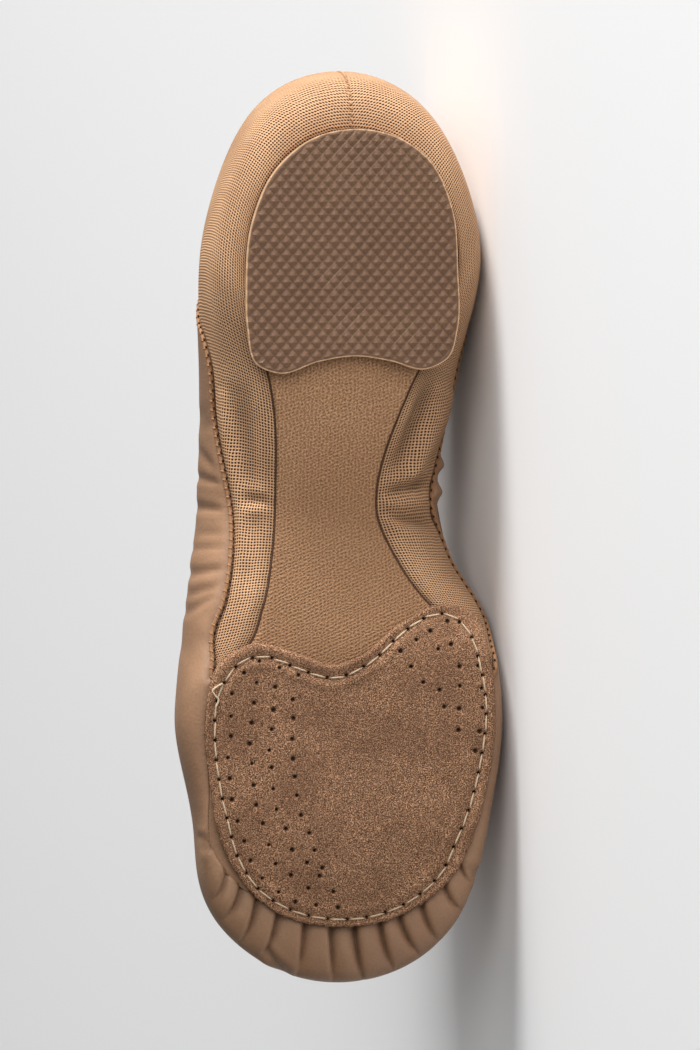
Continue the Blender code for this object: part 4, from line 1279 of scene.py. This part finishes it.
def sole_sheet(name, rise, crown, material, thickness):
    """A thin sheet that spans the edge ring from side to side, standing a little proud along its middle."""
    lateral, medial = edge_sides(SHEET_GRID[0])
    gap = np.linalg.norm(lateral - medial, axis=-1, keepdims=True)
    pull = (lateral - medial) / np.maximum(gap, LEAST_DIVISOR) * np.minimum(SOCK_GAP, gap / 2)
    lateral, medial = lateral - pull, medial + pull
    over = np.linspace(0, 1, SHEET_GRID[1])[None, :, None]
    points = medial[:, None] + (lateral - medial)[:, None] * over
    points[..., 2] += rise - crown * 4 * over[..., 0] * (1 - over[..., 0])
    mesh = grid_mesh(name, points, points[..., :2] / MM)
    piece = new_piece(name, mesh, material)
    give_wall(piece, thickness)
    return piece


def build_arch_panel(canvas):
    """The woven panel that closes the underside and shows between the pads."""
    panel = sole_sheet("arch_panel", 0.0, SOCK_CROWN, canvas, SOCK_THICKNESS)
    return hand_in(panel, "tan_canvas", "sole_sock")


def build_insole(lining):
    """The plain lining that lies on the panel inside the shoe."""
    lift = SOCK_THICKNESS + GAP
    sheet = sole_sheet("insole_lining", lift, 0.0, lining, INSOLE_THICKNESS)
    return hand_in(sheet, "pale_lining", "insole")


def underside_heights(plan):
    """Heights of the shoe's underside at points in plan, from a smoothed map of small cells."""
    cell = UNDERSIDE_CELL
    around = np.linspace(0, 1, UNDERSIDE_WALL_GRID[0], endpoint=False)[:, None]
    level = np.linspace(0, UNDERSIDE_LEVEL, UNDERSIDE_WALL_GRID[1])[None, :]
    turned_in = last_point(around, level).reshape(-1, 3)
    lateral, medial = edge_sides(UNDERSIDE_SOCK_GRID[0])
    over = np.linspace(0, 1, UNDERSIDE_SOCK_GRID[1])[None, :, None]
    sock = lateral[:, None] + (medial - lateral)[:, None] * over
    samples = np.concatenate([turned_in, sock.reshape(-1, 3)])
    corner = samples[:, :2].min(axis=0) - 4 * cell
    size = np.ceil((samples[:, :2].max(axis=0) - corner) / cell).astype(int) + 5
    spots = ((samples[:, :2] - corner) / cell).round().astype(int)
    total, count = np.zeros(size), np.zeros(size)
    np.add.at(total, tuple(spots.T), samples[:, 2])
    np.add.at(count, tuple(spots.T), 1)
    height = np.where(count > 0, total / np.maximum(count, 1), 0)
    known = (count > 0).astype(float)
    for _ in range(UNDERSIDE_BLUR):
        height, known = blurred(height * known), blurred(known)
        reached = known > LEAST_DIVISOR
        height = np.where(reached, height / np.maximum(known, LEAST_DIVISOR), 0)
        known = reached.astype(float)
    at = (plan - corner) / cell
    low = np.clip(np.floor(at).astype(int), 0, size - 2)
    share = at - low
    x, y = low.T
    near = height[x, y] * (1 - share[:, 0]) + height[x + 1, y] * share[:, 0]
    far = height[x, y + 1] * (1 - share[:, 0]) + height[x + 1, y + 1] * share[:, 0]
    return near * (1 - share[:, 1]) + far * share[:, 1]


def blurred(grid):
    """A grid of values averaged with its eight neighbours."""
    wide = np.pad(grid, 1, mode="edge")
    rows = wide[:-2] + wide[1:-1] + wide[2:]
    return (rows[:, :-2] + rows[:, 1:-1] + rows[:, 2:]) / 9


def offset_ring(ring, distance):
    """Moves a closed ring of points in plan inwards, whichever way it runs."""
    ahead = np.roll(ring, -1, axis=0) - np.roll(ring, 1, axis=0)
    normal = unit(np.stack([-ahead[:, 1], ahead[:, 0]], axis=-1))
    after = np.roll(ring, -1, axis=0)
    area = np.sum(ring[:, 0] * after[:, 1] - ring[:, 1] * after[:, 0])
    return ring + normal * distance * np.sign(area)


def inside(plan, ring):
    """Which points in plan lie inside a closed ring."""
    found = np.zeros(len(plan), bool)
    for start, end in zip(ring, np.roll(ring, -1, axis=0)):
        crosses = (start[1] > plan[:, 1]) != (end[1] > plan[:, 1])
        rise = end[1] - start[1]
        slope = (end[0] - start[0]) / rise if rise else 0.0
        found ^= crosses & (plan[:, 0] < start[0] + slope * (plan[:, 1] - start[1]))
    return found


def filled_ring(ring, lines=(), spots=()):
    """Triangles inside a closed ring in plan, with edges along given lines and corners at given spots."""
    points = list(ring)
    edges = []
    for start, end in lines:
        edges.append((len(points), len(points) + 1))
        points.extend([start, end])
    points.extend(spots)
    corners = [Vector((float(x), float(y))) for x, y in points]
    border = [list(range(len(ring)))]
    plan, _, faces, _, _, _ = delaunay_2d_cdt(corners, edges, border, 0, 1e-5, False)
    plan = np.array([corner[:] for corner in plan])
    faces = np.array(faces)[:, ::-1]
    faces = faces[inside(plan[faces].mean(axis=1), ring)]
    used, faces = np.unique(faces, return_inverse=True)
    return plan[used], faces.reshape(-1, 3)


def even_places(line, count, closed=False):
    """Places at even steps along a line; a closed line has one step more."""
    if closed:
        line = np.concatenate([line, line[:1]])
    run = np.concatenate([[0], np.cumsum(np.linalg.norm(np.diff(line, axis=0), axis=-1))])
    at = np.arange(count) * run[-1] / (count if closed else max(count - 1, 1))
    return np.stack([np.interp(at, run, line[:, k]) for k in (0, 1)], axis=-1)


def stitch_count(line):
    """How many stitches fit on a closed line."""
    return round(line_length(np.concatenate([line, line[:1]])) / STITCH_PITCH)


def pinholes(rng):
    """Places and radii of the pinholes, in mm, with a little unrest."""
    rows = [even_places(np.array(row.route), row.count) for row in PINHOLE_ROWS]
    places = np.concatenate(rows)
    places += rng.normal(0, PINHOLE_UNREST, places.shape)
    return places, rng.uniform(*PINHOLE_RADIUS, len(places))


def hex_places(ring, spacing):
    """Evenly spread places over a ring's box."""
    low, high = ring.min(axis=0), ring.max(axis=0)
    rows = np.arange(low[1], high[1], spacing * math.sqrt(3) / 2)
    across = np.arange(low[0], high[0], spacing)
    shifts = (np.arange(len(rows)) % 2)[:, None] * spacing / 2
    x = across[None, :] + shifts
    y = np.broadcast_to(rows[:, None], x.shape)
    return np.stack([x.ravel(), y.ravel()], axis=-1)


def suede_spots(outline, holes, radii):
    """Corners for the suede: rings along its edge, rings round each hole and an even spread between."""
    rings = [offset_ring(outline, inset) for inset in SUEDE_EDGE_RINGS]
    inmost = rings[-1]
    turns = np.linspace(0, 2 * math.pi, HOLE_SIDES, endpoint=False)
    circle = np.stack([np.cos(turns), np.sin(turns)], axis=-1)
    for share in HOLE_RINGS:
        rings.append((holes[:, None] + circle[None] * (radii * share)[:, None, None]).reshape(-1, 2))
    spread = hex_places(outline, SUEDE_SPACING)
    spread = spread[inside(spread, inmost)]
    spread = spread[distance_to_ring(spread, inmost) > SUEDE_EDGE_GAP]
    gaps = np.linalg.norm(spread[:, None] - holes[None], axis=-1) / radii[None]
    return np.concatenate(rings + [holes, spread[gaps.min(axis=1) > HOLE_GAP]])


def pad_depth():
    """How far the visible face of the forefoot pad lies below the shoe's underside."""
    return LEATHER_STEP + PAD_CLEARANCE + FOREFOOT_PAD_THICKNESS


def pad_stitch_line():
    return closed_curve(STITCH_LINE, STITCH_LINE_STEPS)


def build_suede(suede):
    """The suede forefoot pad with its raw edge, its sunken stitch line and its pinholes."""
    rng = np.random.default_rng(SUEDE_SEED)
    outline = closed_curve(FOREFOOT_PAD_OUTLINE, SUEDE_OUTLINE_STEPS) * LENGTH / MM
    outline = offset_ring(outline, rng.normal(0, RAW_EDGE_JITTER, len(outline))[:, None])
    stitch_line = pad_stitch_line()
    stitch_holes = even_places(stitch_line, stitch_count(stitch_line), closed=True)
    places, radii = pinholes(rng)
    holes = np.concatenate([places, stitch_holes])
    radii = np.concatenate([radii, np.full(len(stitch_holes), STITCH_HOLE_RADIUS)])
    plan, faces = filled_ring(outline, spots=suede_spots(outline, holes, radii))
    height = underside_heights(plan * MM) - pad_depth()
    edge_gap = distance_to_ring(plan, outline)
    stitch_gap = distance_to_ring(plan, stitch_line)
    height += RAW_EDGE_ROUND * MM * (1 - smoothstep(0, RAW_EDGE_ROUND, edge_gap)) * RAW_EDGE_RISE
    height += STITCH_GROOVE * bell(stitch_gap, 0, STITCH_GROOVE_WIDTH)
    height -= PILLOW * bell(stitch_gap, PILLOW_AT, PILLOW_WIDTH)
    points = np.column_stack([plan * MM, height])
    mesh = plain_mesh("forefoot_suede", points, faces, plan, {"hole": np.zeros(len(plan))})
    piece = new_piece("forefoot_suede", mesh, suede)
    marks = hole_marks(holes * MM, radii * MM)
    run_tree(piece, hole_tree(), {"Holes": marks, "Depth": HOLE_DEPTH, "Suede": suede})
    make_plain(piece)
    bpy.data.objects.remove(marks)
    give_wall(piece, FOREFOOT_PAD_THICKNESS)
    return hand_in(piece, "brown_suede", "forefoot_pad")


def hole_marks(places, radii):
    """A helper object with a point for each hole, which remembers its radius."""
    mesh = bpy.data.meshes.new("hole_marks")
    mesh.from_pydata([(x, y, 0.0) for x, y in places.tolist()], [], [])
    attribute = mesh.attributes.new("radius", "FLOAT", "POINT")
    attribute.data.foreach_set("value", radii.astype(np.float32))
    return new_piece("hole_marks", mesh)


def build_pad_stitches(cream):
    """The cream stitches of the forefoot pad, each between two of its stitch holes."""
    stitch_line = pad_stitch_line()
    count = stitch_count(stitch_line)
    fine = even_places(stitch_line, count * PAD_STITCH_STEPS, closed=True)
    plan = np.roll(fine, -PAD_STITCH_STEPS // 2, axis=0) * MM
    height = underside_heights(plan) - pad_depth() + STITCH_GROOVE
    path = path_mesh("pad_stitches", np.column_stack([plan, height]), (0, 0, -1), closed=True)
    return sew_stitches("pad_stitches", path, count, PAD_STITCH, cream, "pale_lining")


def build_loose_end(cream):
    """A short thread end that lies over the stitch line on the lateral side."""
    steps = np.arange(len(LOOSE_END))
    fine = np.linspace(0, steps[-1], LOOSE_THREAD_STEPS)
    plan = np.stack([smooth_table(steps, row, fine) for row in np.transpose(LOOSE_END)], axis=-1) * MM
    height = underside_heights(plan) - pad_depth() - LOOSE_THREAD_RISE
    path = path_mesh("loose_end", np.column_stack([plan, height]), (0, 0, -1), closed=False)
    return sew_bead("loose_thread_end", path, LOOSE_THREAD_STEPS, LOOSE_THREAD, cream, "pale_lining")


def diamond_lines(ring):
    """The grooves between the pyramids, as lines across a ring's box, and the places of peaks and notches."""
    low, high = ring.min(axis=0) - TREAD_PITCH, ring.max(axis=0) + TREAD_PITCH
    first = math.floor(low[0] / TREAD_PITCH - high[1] / (2 * TREAD_ROW)) - 1
    last = math.ceil(high[0] / TREAD_PITCH + high[1] / (2 * TREAD_ROW)) + 1
    lines, spots = [], []
    for k in range(first, last + 1):
        for sign in (1, -1):
            ends = [(TREAD_PITCH * (k - sign * y / (2 * TREAD_ROW)), y) for y in (low[1], high[1])]
            if min(ends[0][0], ends[1][0]) < high[0] and max(ends[0][0], ends[1][0]) > low[0]:
                lines.append(ends)
        for j in range(2 * first, 2 * last + 2):
            a, b = k + 0.5, j / 2
            spots.append((TREAD_PITCH * (a + b) / 2, TREAD_ROW * (a - b)))
    spots = np.array(spots)
    return lines, spots[inside(spots, ring)]


def scuffed(plan):
    """How much pale dust lies in the grooves at points of the tread, from 0 to 1."""
    dust = np.zeros(len(plan))
    for scuff in SCUFFS:
        distance = np.linalg.norm(plan - (scuff.across, scuff.along), axis=-1)
        dust += bell(distance, 0, scuff.radius)
    return np.clip(dust, 0, 1)


def build_tread(rubber):
    """The rubber heel pad: pyramids up to a narrow bevelled border, and a straight side."""
    outline = closed_curve(HEEL_PAD_OUTLINE, TREAD_OUTLINE_STEPS) * LENGTH / MM
    face_ring = offset_ring(outline, TREAD_BORDER)
    lines, spots = diamond_lines(face_ring)
    plan, faces = filled_ring(face_ring, lines, spots)
    points = np.column_stack([plan * MM, np.full(len(plan), TREAD_HEIGHT)])
    mesh = plain_mesh("heel_tread", points, faces, plan, {
        "tread": np.ones(len(plan)), "border": np.zeros(len(plan)), "dust": scuffed(plan),
    })
    add_border(mesh)
    piece = new_piece("heel_tread", mesh, rubber)
    run_tree(piece, tread_tree(), {
        "Pitch": TREAD_PITCH * MM, "Row": TREAD_ROW * MM, "Height": TREAD_HEIGHT,
        "Cross Groove": TREAD_CROSS_GROOVE, "Rubber": rubber,
    })
    hand_in(piece, "brown_rubber", "heel_pad")
    piece.data.set_sharp_from_angle(angle=TREAD_SHARP)
    return piece


def add_border(mesh):
    """Closes the tread sheet into a solid: a bevelled border, a side and a flat back."""
    bm = bmesh.new()
    bm.from_mesh(mesh)
    tread = bm.verts.layers.float["tread"]
    border = bm.verts.layers.float["border"]
    rim = [edge for edge in bm.edges if edge.is_boundary]
    bevel = (BORDER_DROP, TREAD_BORDER * MM, 1.0)
    side = (HEEL_PAD_THICKNESS, 0.0, BACK_AS_BORDER)
    for height, widen, mark in (bevel, side):
        grown = bmesh.ops.extrude_edge_only(bm, edges=rim)["geom"]
        rim = [item for item in grown if isinstance(item, bmesh.types.BMEdge) and item.is_boundary]
        verts = {vert for edge in rim for vert in edge.verts}
        moves = {}
        for vert in verts:
            ends = [edge.other_vert(vert).co for edge in vert.link_edges if edge in rim]
            ahead = ends[0] - ends[1]
            sideways = Vector((ahead.y, -ahead.x, 0)).normalized()
            if sideways.dot(vert.co - Vector((0, HEEL_PAD_MIDDLE * LENGTH, vert.co.z))) < 0:
                sideways.negate()
            moves[vert] = sideways * widen
        for vert, move in moves.items():
            vert.co += move
            vert.co.z = height
            vert[tread] = 0.0
            vert[border] = mark
    bmesh.ops.contextual_create(bm, geom=rim)
    bmesh.ops.recalc_face_normals(bm, faces=bm.faces)
    bm.to_mesh(mesh)
    bm.free()


def seam_line(lateral, shift):
    """Points along a mesh and leather seam, moved up the column by a shift in mm, and the way they face."""
    first = place_at(LATERAL_SEAM[0].station + SEAM_SHORTER[0])
    last = place_at(LATERAL_SEAM[-1].station - SEAM_SHORTER[1])
    around = np.linspace(first, last, SEAM_STEPS)
    if not lateral:
        around = 1 - around
    level = seam_level(around)
    points = last_point(around, level)
    facing = outward(around, level)
    ahead = np.gradient(points, axis=0)
    up = unit(np.cross(ahead, facing)) * (1 if lateral else -1)
    return press_on_floor(points + up * shift * MM, SEAM_CLEARANCE), facing


def build_seam(name, lateral, thread, dark):
    """The sewn edge of the mesh on the leather: a bead, wrapped stitches and a row of dark marks painted as
    the shade in its needle holes.
    """
    points, facing = seam_line(lateral, 0.0)
    run = line_length(points) / MM
    path = path_mesh("bead", points, facing, closed=False)
    sew_bead(f"{name}_bead", path, round(run), SEAM_BEAD, thread, "tan_canvas")
    rows = [("wraps", 0.0, SEAM_WRAP, thread), ("needle_holes", NEEDLE_HOLE_SHIFT, NEEDLE_HOLE, dark)]
    for title, shift, stitch, material in rows:
        path = path_mesh(title, *seam_line(lateral, shift), closed=False)
        count = round(run / SEAM_STITCH_PITCH)
        sew_stitches(f"{name}_{title}", path, count, stitch, material, "tan_canvas")


def build_panel_seam(dark):
    """A dark sewn cord in the groove between the sole panel and the upper: partly the seam's thread, partly
    painted shade in the groove.
    """
    ring = ring_point("edge", np.linspace(0, 1, PANEL_SEAM_STEPS, endpoint=False))
    plan = offset_ring(ring[:, :2], SOCK_GAP / 2)
    path = path_mesh("panel_seam", np.column_stack([plan, ring[:, 2]]), (0, 0, 1), closed=True)
    return sew_bead("panel_seam", path, PANEL_CORD_STEPS, PANEL_CORD, dark, "tan_canvas")


def build_back_seam(thread):
    """Small stitches down the seam at the back of the heel."""
    level = np.linspace(*BACK_SEAM_LEVELS, BACK_SEAM_STEPS)
    around = np.zeros_like(level)
    facing = outward(around, level)
    points = last_point(around, level) - facing * BACK_SEAM_GROOVE
    path = path_mesh("back_seam", points, facing, closed=False)
    count = round(line_length(points) / MM / BACK_STITCH_PITCH)
    return sew_stitches("back_seam_stitches", path, count, BACK_STITCH, thread, "tan_canvas")


def build_floor():
    """A plain pale floor."""
    mesh = bpy.data.meshes.new("floor")
    bm = bmesh.new()
    bmesh.ops.create_grid(bm, x_segments=1, y_segments=1, size=FLOOR_HALF_WIDTH)
    bm.to_mesh(mesh)
    bm.free()
    material = new_finish("pale_floor", {"Base Color": tint(246, 246, 246), "Roughness": 0.9})[0]
    floor = new_piece("floor", mesh, material)


def view_axes():
    """The image's right, up and towards-the-camera directions where the shoe lies."""
    up = np.array([0.0, -1.0, 0.0])
    return [TURN @ axis for axis in (IMAGE_RIGHT, up, np.cross(IMAGE_RIGHT, up))]


def view_target():
    """The place where the shoe lies that the image's middle shows."""
    return laid(IMAGE_RIGHT * IMAGE_CENTRE_ACROSS + np.array([0, IMAGE_CENTRE_ALONG, 0]))


def build_camera():
    """The camera, as far away as the photo's flat view asks for."""
    camera = bpy.data.cameras.new("camera")
    camera.sensor_width = SENSOR
    camera.lens = SENSOR * CAMERA_DISTANCE / IMAGE_HEIGHT
    holder = add_to_scene("camera", camera)
    right, up, back = view_axes()
    place = Matrix(np.column_stack([right, up, back]).tolist()).to_4x4()
    place.translation = Vector(view_target() + back * CAMERA_DISTANCE)
    holder.matrix_world = place
    bpy.context.scene.camera = holder


def build_light(light):
    """A soft square light that faces the image's middle."""
    lamp = bpy.data.lights.new(light.name, "AREA")
    lamp.shape = "SQUARE"
    lamp.size = light.size
    lamp.energy = light.power
    holder = add_to_scene(light.name, lamp)
    target = Vector(view_target())
    right, up, back = (Vector(axis) for axis in view_axes())
    holder.location = target + right * light.right + up * light.up + back * light.front
    holder.rotation_euler = (holder.location - target).to_track_quat("Z", "Y").to_euler()


def build_world():
    world = bpy.data.worlds.new("studio")
    world.use_nodes = True
    background = world.node_tree.nodes["Background"]
    background.inputs["Color"].default_value = (1.0, 1.0, 1.0, 1.0)
    background.inputs["Strength"].default_value = WORLD_STRENGTH
    bpy.context.scene.world = world


def build_studio():
    """Soft light, mainly from beyond the heel, with a fill in front of the sole."""
    build_floor()
    for light in LIGHTS:
        build_light(light)
    build_world()
    bpy.context.scene.view_settings.view_transform = "Standard"


STITCH_TREE = stitch_tree()
BEAD_TREE = bead_tree()

LEATHER = leather_finish()
KNIT = knit_finish()
CANVAS = canvas_finish()
SUEDE = suede_finish()
RUBBER = rubber_finish()
LINING = lining_finish()
CREAM_THREAD = thread_finish("cream_thread", tint(226, 205, 176), tint(196, 168, 138))
TAN_THREAD = thread_finish("tan_thread", tint(176, 132, 96), tint(136, 98, 68))
PALE_THREAD = thread_finish("pale_thread", tint(206, 164, 124), tint(170, 128, 92))
# Dark cord colour: partly the seam's own thread, partly painted shade in the groove
PANEL_THREAD_AND_SHADE = thread_finish("panel_thread", tint(92, 64, 45), tint(66, 44, 31))
# Painted shade for the needle holes beside the seams
HOLE_SHADE_FINISH = thread_finish("needle_hole", tint(60, 38, 28), tint(44, 28, 20))

build_camera()
build_studio()
build_quarters(KNIT, LINING)
build_vamp(LEATHER, LINING)
build_lasting_margin(LEATHER)
build_arch_panel(CANVAS)
build_insole(LINING)
build_suede(SUEDE)
build_pad_stitches(CREAM_THREAD)
build_loose_end(CREAM_THREAD)
build_tread(RUBBER)
build_seam("lateral_seam", True, TAN_THREAD, HOLE_SHADE_FINISH)
build_seam("medial_seam", False, TAN_THREAD, HOLE_SHADE_FINISH)
build_panel_seam(PANEL_THREAD_AND_SHADE)
build_back_seam(PALE_THREAD)
